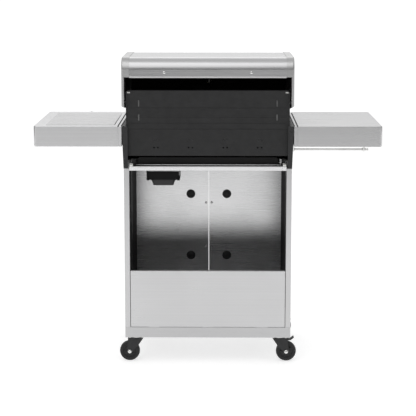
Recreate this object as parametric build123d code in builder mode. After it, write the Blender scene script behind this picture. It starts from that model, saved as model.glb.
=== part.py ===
from build123d import *
import math
import os

# Gas barbecue grill: a four-burner firebox under a rolled steel hood, on a two-door
# cabinet cart with casters, with a plain side shelf and a side-burner shelf.
# +X is the right-hand side of a person standing at the controls, +Y is the back and
# +Z is up. The origin is on the floor under the middle of the grill. Millimetres.

# ---------------------------------------------------------------- driving dimensions
OVERALL_WIDTH = 1260.0      # over both side shelves
OVERALL_DEPTH = 540.0       # rear panels to the front of the hood handle
REAR = OVERALL_DEPTH / 2    # plane of the rear panels
FRONT = -OVERALL_DEPTH / 2  # front of the hood handle
BODY_HALF = 311.0           # hood and firebox, centre to outer side
CART_HALF = 305.0           # cart, centre to outer side
SHEET = 1.5                 # steel sheet
BEND = 2.5                  # outer bend radius of a fold
FACE = -212.0               # front plane of control panel, shelves and hood

WHEEL_RADIUS = 37.5
BASE_BOTTOM = 99.0
BASE_TOP = 138.0
SIDE_TOP = 730.0            # top of the cart's side panels
RAIL_TOP = 738.0            # top of the cart's rear cross rail
FRONT_RAIL_TOP = 714.0      # lower, so that a gas hose passes over it
RAIL_HEIGHT = 16.0
RAIL_DEPTH = 20.0
SIDE_FRONT = -158.0         # front plane of the cart's side panels
POST = 20.0                 # width of the side panels' rear and front flanges
REAR_PANEL_TOP = 351.0
SEAM = 1.4                  # open seam round the lower rear panel

DOOR_FACE = -186.0
DOOR_BACK = -163.0
DOOR_BOTTOM = 142.0
DOOR_TOP = 720.0
DOOR_MIDDLE = 441.0         # height of the middle of the door handles
HANDLE_X = 71.0
HANDLE_PITCH = 247.0        # between the two screws of a door handle
HINGE_X = 297.0
HINGE_Y = -172.0
HINGE_PIN = 3.0
RUNNING = 0.08              # radial clearance of a running fit

FIREBOX_HALF = 296.0        # outside of the firebox end walls
FIREBOX_FRONT = -175.0
FIREBOX_BACK = 254.0
WALL = 5.0                  # firebox end wall
BRACKET_TOP = 884.0
BURNER_X = (-188.0, -63.0, 63.0, 188.0)
BURNER_Z = 825.0
BURNER_RADIUS = 12.5
GRATE_Z = 870.0
TAMER_Z = 845.0
TRAY_LEDGE_Z = 760.0

SHELF_TOP = 885.0
SHELF_BOTTOM = 810.5
LID_X = (338.0, 589.0)      # opening for the side burner's lid
LID_Y = (-150.0, 240.0)
SIDE_BURNER_X = (LID_X[0] + LID_X[1]) / 2
SIDE_BURNER_Y = 45.0

HOOD_TOP = 1133.0
HOOD_REAR = 268.0
HOOD_LIP = 1061.0           # lower edge of the hood's rear face
HOOD_FRONT_Z = 892.0        # lower edge of the hood's front face
HOOD_REAR_RADIUS = 43.0
HOOD_FRONT_RADIUS = 200.0
CAP_GROW = 2.0              # the end castings stand proud of the skin by this much
CAP_REAR_Z = 954.0
CAP_FRONT_Z = 889.0
PIVOT_Y = 225.0
PIVOT_Z = 975.0
PIVOT_RADIUS = 4.0

KNOB_Z = 818.0
SIDE_KNOB_Z = 848.0
MANIFOLD_Y = -195.0
MANIFOLD_Z = 785.0

CASTER_X = 266.0
CASTER_REAR_Y = 225.0
CASTER_FRONT_Y = -141.0
CASTER_TRAIL = 25.0

CUP_X = 162.0
CUP_HALF = 60.5
CUP_RAIL_Z = 688.0

os.makedirs("parts", exist_ok=True)


# --------------------------------------------------------------------------- helpers
def finish(builder, name):
    """Label a finished sub-part and write it as its own STEP file."""
    builder.part.label = name
    export_step(builder.part, f"parts/{name}.step")


def folded(points, side, thickness=SHEET, radius=BEND):
    """Face of a folded sheet in the current sketch: points run along one skin."""
    with BuildLine() as fold:
        FilletPolyline(*points, radius=radius)
        offset(amount=thickness, side=side)
    make_face(fold.line)


def block(x, y, z, mode=Mode.ADD):
    """Box between two values on each axis."""
    centre = ((x[0] + x[1]) / 2, (y[0] + y[1]) / 2, (z[0] + z[1]) / 2)
    with Locations(centre):
        Box(abs(x[1] - x[0]), abs(y[1] - y[0]), abs(z[1] - z[0]), mode=mode)


def rod(start, end, radius, mode=Mode.ADD):
    """Round bar between two points."""
    axis = Vector(*end) - Vector(*start)
    with BuildSketch(Plane(origin=start, z_dir=axis)) as section:
        Circle(radius)
    extrude(section.sketch, amount=axis.length, mode=mode)


def mirrored(builder, name):
    """Mirror a finished +X piece to the -X side and write it."""
    with BuildPart() as other:
        mirror(builder.part, about=Plane.YZ)
    finish(other, name)


# ------------------------------------------------------------------------------ cart
with BuildPart() as cart_side_right:
    inner = CART_HALF - POST
    with BuildSketch(Plane.XY.offset(BASE_TOP)):
        folded(
            [
                (inner, REAR - 10),
                (inner, REAR),
                (CART_HALF, REAR),
                (CART_HALF, SIDE_FRONT),
                (inner, SIDE_FRONT),
                (inner, SIDE_FRONT + 10),
            ],
            Side.RIGHT,
        )
        # two pressed stiffening ribs on the inside of the wall
        rib_face = CART_HALF - SHEET
        for rib_y in (REAR - 120, SIDE_FRONT + 120):
            with BuildLine() as rib:
                Polyline(
                    (rib_face, rib_y - 18),
                    (rib_face - 7, rib_y - 9),
                    (rib_face - 7, rib_y + 9),
                    (rib_face, rib_y + 18),
                    close=True,
                )
            make_face(rib.line)
    extrude(amount=SIDE_TOP - BASE_TOP)
finish(cart_side_right, "cart_side_right")
mirrored(cart_side_right, "cart_side_left")

with BuildPart() as cart_base:
    block((-CART_HALF, CART_HALF), (DOOR_FACE, REAR), (BASE_BOTTOM, BASE_TOP))
    fillet(cart_base.edges().filter_by(Axis.Z), radius=3)
    fillet(cart_base.faces().sort_by(Axis.Z)[-1].edges(), radius=1.2)
    block(
        (-CART_HALF + SHEET, CART_HALF - SHEET),
        (DOOR_FACE + SHEET, REAR - SHEET),
        (BASE_BOTTOM, BASE_TOP - SHEET),
        mode=Mode.SUBTRACT,
    )
    # corner plates that carry the casters, and the folded lower lips
    plate = 88.0
    for side in (-1, 1):
        outer = side * (CART_HALF - SHEET)
        for edge, way in ((DOOR_FACE + SHEET, 1), (REAR - SHEET, -1)):
            block(
                (outer - side * plate, outer),
                (edge, edge + way * plate),
                (BASE_BOTTOM, BASE_BOTTOM + 2),
            )
    for edge, way in ((DOOR_FACE + SHEET, 1), (REAR - SHEET, -1)):
        block(
            (-CART_HALF + SHEET, CART_HALF - SHEET),
            (edge, edge + way * 12),
            (BASE_BOTTOM, BASE_BOTTOM + SHEET),
        )
finish(cart_base, "cart_base")

with BuildPart() as cart_rear_panel:
    half = CART_HALF - POST - SEAM
    with BuildSketch(Plane.YZ.offset(-half)):
        folded(
            [
                (REAR, BASE_TOP + SEAM),
                (REAR, REAR_PANEL_TOP),
                (REAR - 16, REAR_PANEL_TOP),
                (REAR - 16, REAR_PANEL_TOP - 9),
            ],
            Side.LEFT,
        )
    extrude(amount=2 * half)
    # three tabs hold it down on the base, behind its face
    for tab_x in (-200, 0, 200):
        block(
            (tab_x - 20, tab_x + 20),
            (REAR - SHEET - 1, REAR - SHEET),
            (BASE_TOP, BASE_TOP + 14),
        )
finish(cart_rear_panel, "cart_rear_panel")

with BuildPart() as cart_top_rails:
    half = CART_HALF - POST
    for rail_y, rail_top in (
        (REAR - RAIL_DEPTH / 2, RAIL_TOP),
        (SIDE_FRONT + RAIL_DEPTH / 2, FRONT_RAIL_TOP),
    ):
        with BuildSketch(Plane.YZ.offset(-half)):
            with Locations((rail_y, rail_top - RAIL_HEIGHT / 2)):
                RectangleRounded(RAIL_DEPTH, RAIL_HEIGHT, 2.5)
                Rectangle(
                    RAIL_DEPTH - 2 * SHEET, RAIL_HEIGHT - 2 * SHEET, mode=Mode.SUBTRACT
                )
        extrude(amount=2 * half)
finish(cart_top_rails, "cart_top_rails")

with BuildPart() as cart_screws:
    # pan-head screws through the side panels, two low and two high on each side
    for side in (-1, 1):
        wall_x = side * CART_HALF
        for screw_y in (REAR - 32, SIDE_FRONT + 40):
            for screw_z in (BASE_TOP + 24, SIDE_TOP - 18):
                rod((wall_x, screw_y, screw_z), (wall_x + side * 2.2, screw_y, screw_z), 5)
    fillet(cart_screws.faces().filter_by(Plane.YZ).group_by(Axis.X)[0].edges(), radius=1.2)
    fillet(cart_screws.faces().filter_by(Plane.YZ).group_by(Axis.X)[-1].edges(), radius=1.2)
finish(cart_screws, "cart_screws")

# ----------------------------------------------------------------------------- doors
with BuildPart() as door_fittings:
    # per door: an upper hinge lug with its pin, a lower pin with its washer, a magnet
    for side in (-1, 1):
        hinge_x = side * HINGE_X
        block(
            (side * (CART_HALF - 24), side * (CART_HALF - 1)),
            (HINGE_Y - 10, SIDE_FRONT),
            (DOOR_TOP + 2, DOOR_TOP + 5),
        )
        block(
            (side * (CART_HALF - 24), side * (CART_HALF - 1)),
            (SIDE_FRONT - 2, SIDE_FRONT),
            (DOOR_TOP + 5, SIDE_TOP),
        )
        rod((hinge_x, HINGE_Y, DOOR_TOP + 2), (hinge_x, HINGE_Y, DOOR_TOP - 12), HINGE_PIN)
        rod((hinge_x, HINGE_Y, BASE_TOP), (hinge_x, HINGE_Y, BASE_TOP + 3.5), 7)
        rod((hinge_x, HINGE_Y, BASE_TOP), (hinge_x, HINGE_Y, DOOR_BOTTOM + 12), HINGE_PIN)
        block(
            (side * 18, side * 42),
            (SIDE_FRONT, SIDE_FRONT + 16),
            (FRONT_RAIL_TOP - RAIL_HEIGHT - 12, FRONT_RAIL_TOP - RAIL_HEIGHT),
        )
finish(door_fittings, "door_fittings")

DOOR_X = (1.0, 304.0)
with BuildPart() as door_right:
    block(DOOR_X, (DOOR_FACE, DOOR_BACK), (DOOR_BOTTOM, DOOR_TOP))
    fillet(door_right.faces().sort_by(Axis.Y)[0].edges(), radius=2.5)
    block(
        (DOOR_X[0] + SHEET, DOOR_X[1] - SHEET),
        (DOOR_FACE + SHEET, DOOR_BACK),
        (DOOR_BOTTOM + SHEET, DOOR_TOP - SHEET),
        mode=Mode.SUBTRACT,
    )
    rod(
        (HINGE_X, HINGE_Y, DOOR_BOTTOM - 1),
        (HINGE_X, HINGE_Y, DOOR_TOP + 1),
        HINGE_PIN + RUNNING,
        mode=Mode.SUBTRACT,
    )
finish(door_right, "door_right")
mirrored(door_right, "door_left")

HANDLE_ENDS = (DOOR_MIDDLE - HANDLE_PITCH / 2, DOOR_MIDDLE + HANDLE_PITCH / 2)
with BuildPart() as door_right_liner:
    block(
        (DOOR_X[0] + SHEET, DOOR_X[1] - SHEET),
        (DOOR_BACK - SHEET, DOOR_BACK),
        (DOOR_BOTTOM + SHEET, DOOR_TOP - SHEET),
    )
    for screw_z in HANDLE_ENDS:
        rod(
            (HANDLE_X, DOOR_BACK - 2 * SHEET, screw_z),
            (HANDLE_X, DOOR_BACK + 1, screw_z),
            15,
            mode=Mode.SUBTRACT,
        )
    for rivet_z in (DOOR_MIDDLE - 88.5, DOOR_MIDDLE + 88.5):
        rod((11, DOOR_BACK, rivet_z), (11, DOOR_BACK + 1.5, rivet_z), 3)
    # snap-in plastic plugs over the handle screws
    for screw_z in HANDLE_ENDS:
        rod((HANDLE_X, DOOR_BACK - 5, screw_z), (HANDLE_X, DOOR_BACK, screw_z), 14.8)
        rod((HANDLE_X, DOOR_BACK, screw_z), (HANDLE_X, DOOR_BACK + 2, screw_z), 17)
finish(door_right_liner, "door_right_liner")
mirrored(door_right_liner, "door_left_liner")

HANDLE_RADIUS = 8.0
HANDLE_Y = DOOR_FACE - 37
with BuildPart() as door_right_handle:
    rod(
        (HANDLE_X, HANDLE_Y, DOOR_MIDDLE - 155),
        (HANDLE_X, HANDLE_Y, DOOR_MIDDLE + 155),
        HANDLE_RADIUS,
    )
    fillet(door_right_handle.edges().filter_by(GeomType.CIRCLE), radius=2)
    for screw_z in HANDLE_ENDS:
        rod((HANDLE_X, HANDLE_Y, screw_z), (HANDLE_X, DOOR_FACE, screw_z), 5)
        rod((HANDLE_X, DOOR_FACE - 3, screw_z), (HANDLE_X, DOOR_FACE, screw_z), 9)
finish(door_right_handle, "door_right_handle")
mirrored(door_right_handle, "door_left_handle")

# --------------------------------------------------------------------------- casters
KINGPIN = 6.0
AXLE = 4.0
FORK_TOP = 90.0
FORK_PLATE = 5.0
LEG_INSIDE = 14.0
LEG_OUTSIDE = 17.0
CASTERS = (
    ("rear_right", CASTER_X, CASTER_REAR_Y, 1),
    ("rear_left", -CASTER_X, CASTER_REAR_Y, -1),
    ("front_right", CASTER_X, CASTER_FRONT_Y, 1),
    ("front_left", -CASTER_X, CASTER_FRONT_Y, -1),
)

with BuildPart() as caster_plates:
    for name, x, y, way in CASTERS:
        with Locations((x, y, BASE_BOTTOM - 1.5)):
            Box(60, 60, 3)
        rod((x, y, FORK_TOP + 0.5), (x, y, BASE_BOTTOM - 3), 22)
        rod((x, y, FORK_TOP - FORK_PLATE - 4), (x, y, FORK_TOP + 0.5), KINGPIN)
        rod(
            (x, y, FORK_TOP - FORK_PLATE - 4),
            (x, y, FORK_TOP - FORK_PLATE - 0.5),
            KINGPIN + 3.5,
        )
finish(caster_plates, "caster_plates")

PEDAL_X = 27.0
PEDAL_Z = 79.5
PEDAL_PIN = 2.0


def caster_fork(x, y, way, braked):
    """Pressed fork with its axle, trailing outwards from the swivel at (x, y)."""
    axle_x = x + way * CASTER_TRAIL
    with BuildPart() as fork:
        rod((x, y, FORK_TOP - FORK_PLATE), (x, y, FORK_TOP), 26)
        for leg in (-1, 1):
            plane = Plane(
                origin=(x, y + leg * LEG_INSIDE, 0), x_dir=(way, 0, 0), z_dir=(0, leg, 0)
            )
            # the plane's vertical points down for one of the two legs
            up = 1 if plane.y_dir.Z > 0 else -1
            with BuildSketch(plane) as leg_face:
                with BuildLine() as outline:
                    start = Polyline(
                        (14, up * 39),
                        (-4, up * 56),
                        (-24, up * 86),
                        (-24, up * FORK_TOP),
                        (31, up * FORK_TOP),
                        (34, up * 56),
                        (CASTER_TRAIL + 11, up * WHEEL_RADIUS),
                    )
                    ThreePointArc(
                        start @ 1, (CASTER_TRAIL, up * (WHEEL_RADIUS - 11)), start @ 0
                    )
                make_face(outline.line)
            extrude(leg_face.sketch, amount=LEG_OUTSIDE - LEG_INSIDE)
        rod(
            (axle_x, y - 30, WHEEL_RADIUS),
            (axle_x, y + 30, WHEEL_RADIUS),
            AXLE + 0.05,
            mode=Mode.SUBTRACT,
        )
        rod(
            (x, y, FORK_TOP - 2 * FORK_PLATE),
            (x, y, FORK_TOP + 1),
            KINGPIN + RUNNING,
            mode=Mode.SUBTRACT,
        )
        if braked:
            pin_x = x + way * PEDAL_X
            rod((pin_x, y - LEG_INSIDE, PEDAL_Z), (pin_x, y + LEG_INSIDE, PEDAL_Z), PEDAL_PIN)
        # axle with a domed nut at each end, a piece of its own
        rod((axle_x, y - LEG_OUTSIDE, WHEEL_RADIUS), (axle_x, y + LEG_OUTSIDE, WHEEL_RADIUS), AXLE)
        for end in (-1, 1):
            face_y = y + end * LEG_OUTSIDE
            rod((axle_x, face_y, WHEEL_RADIUS), (axle_x, face_y + end * 4, WHEEL_RADIUS), 7)
    return fork


def caster_wheel(x, y, way):
    """Moulded wheel: a hub disc with stepped faces, and a tread ring round it."""
    axle_x = x + way * CASTER_TRAIL
    with BuildPart() as wheel:
        plane = Plane(origin=(axle_x, y, WHEEL_RADIUS), x_dir=(1, 0, 0), z_dir=(0, 1, 0))
        with BuildSketch(plane):
            Circle(30)
            Circle(AXLE + RUNNING, mode=Mode.SUBTRACT)
        extrude(amount=8, both=True)
        with BuildSketch(plane):
            Circle(11)
            Circle(AXLE + RUNNING, mode=Mode.SUBTRACT)
        extrude(amount=13.4, both=True)
        with BuildSketch(plane) as rim:
            Circle(30)
            Circle(25, mode=Mode.SUBTRACT)
        extrude(rim.sketch, amount=11, both=True)
        with BuildSketch(Plane(origin=(axle_x, y, WHEEL_RADIUS), x_dir=(1, 0, 0))) as tread:
            with BuildLine() as outline:
                crown = Polyline((WHEEL_RADIUS - 4, -12), (30, -12), (30, 12), (WHEEL_RADIUS - 4, 12))
                ThreePointArc(crown @ 1, (WHEEL_RADIUS, 0), crown @ 0)
            make_face(outline.line)
        revolve(
            tread.sketch,
            axis=Axis((axle_x, y, WHEEL_RADIUS), (0, 1, 0)),
            revolution_arc=360,
            mode=Mode.ADD,
        )
    return wheel


def caster_brake(x, y):
    """Brake pedal of a -X caster: a bent strip on a barrel, on the fork's cross pin."""
    side_plane = Plane(origin=(x, y - LEG_INSIDE + 1, 0), x_dir=(-1, 0, 0), z_dir=(0, 1, 0))
    with BuildPart() as pedal:
        with BuildSketch(side_plane):
            with BuildLine() as outline:
                Polyline(
                    (PEDAL_X, PEDAL_Z + 3),
                    (PEDAL_X + 13, PEDAL_Z + 3.5),
                    (PEDAL_X + 25, PEDAL_Z + 13),
                    (PEDAL_X + 27, PEDAL_Z + 11),
                    (PEDAL_X + 14, PEDAL_Z + 0.5),
                    (PEDAL_X, PEDAL_Z),
                    close=True,
                )
            make_face(outline.line)
            with Locations((PEDAL_X, PEDAL_Z)):
                Circle(3.5)
                Circle(PEDAL_PIN + RUNNING, mode=Mode.SUBTRACT)
        extrude(amount=2 * LEG_INSIDE - 2)
    return pedal


for name, x, y, way in CASTERS:
    braked = x < 0
    finish(caster_fork(x, y, way, braked), f"caster_fork_{name}")
    finish(caster_wheel(x, y, way), f"caster_wheel_{name}")
    if braked:
        finish(caster_brake(x, y), f"caster_brake_{name}")

# --------------------------------------------------------------------------- firebox
RACK_Z = 985.0
RACK_Y = (138.0, 236.0)
RACK_ROD = 3.0

with BuildPart() as firebox_end_right:
    with BuildSketch(Plane.YZ.offset(FIREBOX_HALF - WALL)):
        with BuildLine() as outline:
            Polyline(
                (FIREBOX_BACK + 4, 1008),
                (FIREBOX_BACK + 4, RAIL_TOP),
                (FIREBOX_FRONT, RAIL_TOP),
                (FIREBOX_FRONT, 884),
                (100, 912),
                (125, 1002),
                close=True,
            )
        make_face(outline.line)
    extrude(amount=WALL)
    rod(
        (FIREBOX_HALF - WALL - 1, PIVOT_Y, PIVOT_Z),
        (FIREBOX_HALF + 1, PIVOT_Y, PIVOT_Z),
        PIVOT_RADIUS + RUNNING,
        mode=Mode.SUBTRACT,
    )
    for rod_y in RACK_Y:
        rod(
            (FIREBOX_HALF - WALL - 1, rod_y, RACK_Z),
            (FIREBOX_HALF + 1, rod_y, RACK_Z),
            RACK_ROD + 0.5,
            mode=Mode.SUBTRACT,
        )
    # runner for the drip tray
    block(
        (FIREBOX_HALF - WALL - 11, FIREBOX_HALF - WALL),
        (FIREBOX_FRONT, FIREBOX_BACK),
        (TRAY_LEDGE_Z - 3, TRAY_LEDGE_Z),
    )
finish(firebox_end_right, "firebox_end_right")
mirrored(firebox_end_right, "firebox_end_left")

with BuildPart() as side_bracket_right:
    foot = BODY_HALF - 5.5
    with BuildSketch(Plane.XZ.offset(-REAR)):
        with BuildLine() as outline:
            Polyline(
                (FIREBOX_HALF, SIDE_TOP),
                (foot, SIDE_TOP),
                (BODY_HALF, BRACKET_TOP),
                (FIREBOX_HALF, BRACKET_TOP),
                close=True,
            )
        make_face(outline.line)
    extrude(amount=REAR - FIREBOX_FRONT)
    with BuildSketch(Plane.XZ.offset(-REAR + 2)):
        with BuildLine() as pocket:
            Polyline(
                (FIREBOX_HALF, SIDE_TOP + 2),
                (foot - 2, SIDE_TOP + 2),
                (BODY_HALF - 2, BRACKET_TOP - 2),
                (FIREBOX_HALF, BRACKET_TOP - 2),
                close=True,
            )
        make_face(pocket.line)
    extrude(amount=REAR - FIREBOX_FRONT - 4, mode=Mode.SUBTRACT)
    # rear flange over the edge of the back panel
    block((FIREBOX_HALF - 6, FIREBOX_HALF), (REAR - 2, REAR), (SIDE_TOP, BRACKET_TOP))
    # bolts that carry the side shelf
    for bolt_y in (200, -120):
        rod((BODY_HALF - 3, bolt_y, 862), (BODY_HALF + 1, bolt_y, 862), 6)
finish(side_bracket_right, "side_bracket_right")
mirrored(side_bracket_right, "side_bracket_left")

INSIDE = FIREBOX_HALF - WALL
with BuildPart() as firebox_back_panel:
    with BuildSketch(Plane.YZ.offset(-INSIDE)):
        folded(
            [(FIREBOX_BACK + 2, 775), (FIREBOX_BACK + 2, 1013), (FIREBOX_BACK - 12, 1013)],
            Side.LEFT,
            thickness=2,
            radius=4,
        )
    extrude(amount=2 * INSIDE)
    # rolled beads, seen as shallow grooves
    for bead_z, bead in ((950, 3), (919, 8), (894, 3), (873, 3)):
        block(
            (-INSIDE + 6, INSIDE - 6),
            (FIREBOX_BACK + 1.2, FIREBOX_BACK + 2),
            (bead_z - bead / 2, bead_z + bead / 2),
            mode=Mode.SUBTRACT,
        )
    for side in (-1, 1):
        for slot_z in (966, 914.5):
            block(
                (side * 250 - 2.5, side * 250 + 2.5),
                (FIREBOX_BACK - 1, FIREBOX_BACK + 3),
                (slot_z - 12, slot_z + 12),
                mode=Mode.SUBTRACT,
            )
    for burner_x in BURNER_X:
        for dx in (-7, 7):
            for hole_z in (BURNER_Z - 20, BURNER_Z + 8):
                rod(
                    (burner_x + dx, FIREBOX_BACK - 1, hole_z),
                    (burner_x + dx, FIREBOX_BACK + 3, hole_z),
                    2.8,
                    mode=Mode.SUBTRACT,
                )
    # ledges for the flame tamers and the grates
    for ledge_z in (TAMER_Z, GRATE_Z):
        block((-INSIDE, INSIDE), (FIREBOX_BACK - 16, FIREBOX_BACK), (ledge_z - 2, ledge_z))
finish(firebox_back_panel, "firebox_back_panel")

with BuildPart() as firebox_front_panel:
    block((-INSIDE, INSIDE), (FIREBOX_FRONT, FIREBOX_FRONT + 2), (770, BRACKET_TOP))
    for ledge_z in (TAMER_Z, GRATE_Z):
        block(
            (-INSIDE, INSIDE),
            (FIREBOX_FRONT, FIREBOX_FRONT + 18),
            (ledge_z - 2, ledge_z),
        )
    for burner_x in BURNER_X:
        rod(
            (burner_x, FIREBOX_FRONT - 1, BURNER_Z),
            (burner_x, FIREBOX_FRONT + 3, BURNER_Z),
            BURNER_RADIUS + 0.5,
            mode=Mode.SUBTRACT,
        )
finish(firebox_front_panel, "firebox_front_panel")

with BuildPart() as burner_tubes:
    for burner_x in BURNER_X:
        front = (burner_x, FIREBOX_FRONT - 7, BURNER_Z)
        back = (burner_x, FIREBOX_BACK - 22, BURNER_Z)
        rod(front, back, BURNER_RADIUS)
        # flat tail screwed to the back panel
        block(
            (burner_x - 12, burner_x + 12),
            (FIREBOX_BACK - 24, FIREBOX_BACK),
            (BURNER_Z - 1.5, BURNER_Z + 1.5),
        )
    for burner_x in BURNER_X:
        rod(
            (burner_x, FIREBOX_FRONT - 8, BURNER_Z),
            (burner_x, FIREBOX_BACK - 25, BURNER_Z),
            BURNER_RADIUS - 1.2,
            mode=Mode.SUBTRACT,
        )
        # air shutter window under the front end
        block(
            (burner_x - 5, burner_x + 5),
            (FIREBOX_FRONT + 10, FIREBOX_FRONT + 40),
            (BURNER_Z - BURNER_RADIUS - 1, BURNER_Z - 5),
            mode=Mode.SUBTRACT,
        )
finish(burner_tubes, "burner_tubes")

with BuildPart() as flame_tamers:
    for burner_x in BURNER_X:
        with BuildSketch(Plane.XZ.offset(-FIREBOX_BACK + 1)):
            folded(
                [
                    (burner_x - 44, TAMER_Z),
                    (burner_x - 38, TAMER_Z),
                    (burner_x, TAMER_Z + 20),
                    (burner_x + 38, TAMER_Z),
                    (burner_x + 44, TAMER_Z),
                ],
                Side.LEFT,
                thickness=1.2,
                radius=3,
            )
        extrude(amount=FIREBOX_BACK - FIREBOX_FRONT - 4)
finish(flame_tamers, "flame_tamers")

GRATE_SPLIT = 94.0
GRATE_Y = (FIREBOX_FRONT + 3.0, FIREBOX_BACK - 1.0)
GRATE_THICK = 12.0

with BuildPart() as cooking_grate:
    block((-INSIDE + 3, GRATE_SPLIT - 2), GRATE_Y, (GRATE_Z, GRATE_Z + GRATE_THICK))
    middle_x = (GRATE_SPLIT - 2 - INSIDE + 3) / 2
    middle_y = (GRATE_Y[0] + GRATE_Y[1]) / 2
    for row in (-1, 1):
        with Locations((middle_x, middle_y + row * 104, GRATE_Z + GRATE_THICK / 2)):
            with GridLocations(18.2, 10, 20, 1):
                Box(10.5, 192, GRATE_THICK + 2, mode=Mode.SUBTRACT)
finish(cooking_grate, "cooking_grate")

with BuildPart() as griddle:
    block((GRATE_SPLIT + 2, INSIDE - 3), GRATE_Y, (GRATE_Z, GRATE_Z + GRATE_THICK + 4))
    block(
        (GRATE_SPLIT + 7, INSIDE - 8),
        (GRATE_Y[0] + 5, GRATE_Y[1] - 5),
        (GRATE_Z + 7, GRATE_Z + GRATE_THICK + 5),
        mode=Mode.SUBTRACT,
    )
    # grease channel along the front and its drain
    block(
        (GRATE_SPLIT + 7, INSIDE - 8),
        (GRATE_Y[0] + 5, GRATE_Y[0] + 25),
        (GRATE_Z + 4, GRATE_Z + 8),
        mode=Mode.SUBTRACT,
    )
    with Locations(((GRATE_SPLIT + INSIDE) / 2, GRATE_Y[0] + 20, GRATE_Z + 3)):
        Box(60, 9, 10, mode=Mode.SUBTRACT)
finish(griddle, "griddle")

with BuildPart() as warming_rack:
    for rod_y in RACK_Y:
        rod((-INSIDE - 3, rod_y, RACK_Z), (INSIDE + 3, rod_y, RACK_Z), RACK_ROD)
    for count in range(25):
        wire_x = -276 + 23 * count
        rod((wire_x, RACK_Y[0] - 3, RACK_Z + 3), (wire_x, RACK_Y[1] + 3, RACK_Z + 3), 1.6)
finish(warming_rack, "warming_rack")

# ---------------------------------------------------------------- drip tray and cup
TRAY_HALF = 262.0
TRAY_FLOOR = 742.0
TRAY_RIM = TRAY_LEDGE_Z + 0.3
TRAY_Y = (-165.0, 232.0)
DRAIN_Y = 205.0

with BuildPart() as drip_tray:
    block((-TRAY_HALF, TRAY_HALF), TRAY_Y, (TRAY_FLOOR, TRAY_RIM + SHEET))
    fillet(drip_tray.edges().filter_by(Axis.Z), radius=8)
    for side in (-1, 1):
        block(
            (side * (TRAY_HALF - 5), side * (FIREBOX_HALF - WALL - 4)),
            TRAY_Y,
            (TRAY_RIM, TRAY_RIM + SHEET),
        )
    block(
        (-TRAY_HALF + 10, TRAY_HALF - 10),
        (TRAY_Y[1] - SHEET, TRAY_Y[1]),
        (TRAY_FLOOR + 4, TRAY_RIM + 6),
    )
    block(
        (-TRAY_HALF + SHEET, TRAY_HALF - SHEET),
        (TRAY_Y[0] + SHEET, TRAY_Y[1] - SHEET),
        (TRAY_FLOOR + SHEET, TRAY_RIM + 3),
        mode=Mode.SUBTRACT,
    )
    rod((CUP_X, DRAIN_Y, TRAY_FLOOR - 2), (CUP_X, DRAIN_Y, TRAY_FLOOR + 1), 11)
    rod(
        (CUP_X, DRAIN_Y, TRAY_FLOOR - 3),
        (CUP_X, DRAIN_Y, TRAY_FLOOR + 3),
        9,
        mode=Mode.SUBTRACT,
    )
finish(drip_tray, "drip_tray")

with BuildPart() as cup_bracket:
    with BuildSketch(Plane.XZ.offset(-REAR + 3)):
        folded(
            [
                (CUP_X - CUP_HALF + 10, CUP_RAIL_Z - SHEET),
                (CUP_X - CUP_HALF, CUP_RAIL_Z - SHEET),
                (CUP_X - CUP_HALF, RAIL_TOP - RAIL_HEIGHT),
                (CUP_X + CUP_HALF, RAIL_TOP - RAIL_HEIGHT),
                (CUP_X + CUP_HALF, CUP_RAIL_Z - SHEET),
                (CUP_X + CUP_HALF - 10, CUP_RAIL_Z - SHEET),
            ],
            Side.RIGHT,
            radius=2,
        )
    extrude(amount=97)
    rod(
        (CUP_X, DRAIN_Y, RAIL_TOP - RAIL_HEIGHT - 3),
        (CUP_X, DRAIN_Y, RAIL_TOP),
        16,
        mode=Mode.SUBTRACT,
    )
finish(cup_bracket, "cup_bracket")

CUP_Y = 219.0
CUP_RIM = CUP_RAIL_Z + 0.3
with BuildPart() as grease_cup:
    with BuildSketch(Plane.XY.offset(666)):
        with Locations((CUP_X, CUP_Y)):
            RectangleRounded(72, 66, 9)
    with BuildSketch(Plane.XY.offset(CUP_RIM)):
        with Locations((CUP_X, CUP_Y)):
            RectangleRounded(89, 83, 11)
    loft()
    with BuildSketch(Plane.XY.offset(CUP_RIM)):
        with Locations((CUP_X, CUP_Y)):
            RectangleRounded(112, 88, 4)
    extrude(amount=SHEET)
    with BuildSketch(Plane.XY.offset(666 + SHEET)):
        with Locations((CUP_X, CUP_Y)):
            RectangleRounded(69, 63, 7.5)
    with BuildSketch(Plane.XY.offset(CUP_RIM + SHEET + 0.5)):
        with Locations((CUP_X, CUP_Y)):
            RectangleRounded(86, 80, 9.5)
    loft(mode=Mode.SUBTRACT)
    # upright plate at the back to pull it out by
    block(
        (CUP_X - CUP_HALF + SHEET + 1, CUP_X + CUP_HALF - SHEET - 1),
        (CUP_Y + 44 - SHEET, CUP_Y + 44),
        (CUP_RIM, RAIL_TOP - RAIL_HEIGHT - SHEET - 1.5),
    )
finish(grease_cup, "grease_cup")

# --------------------------------------------------------------- gas and control panel
PANEL_TOP = (FACE, BRACKET_TOP)
PANEL_FOOT = (FACE - 16.0, 728.0)
slope = math.atan2(PANEL_TOP[0] - PANEL_FOOT[0], PANEL_TOP[1] - PANEL_FOOT[1])
OUT_Y = -math.cos(slope)
OUT_Z = math.sin(slope)
KNOB_Y = PANEL_TOP[0] - (PANEL_TOP[1] - KNOB_Z) * math.tan(slope)
STEM = 3.0


def on_panel(x, out):
    """Point on a control's axis, a distance out from the face of the control panel."""
    return (x, KNOB_Y + out * OUT_Y, KNOB_Z + out * OUT_Z)


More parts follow.
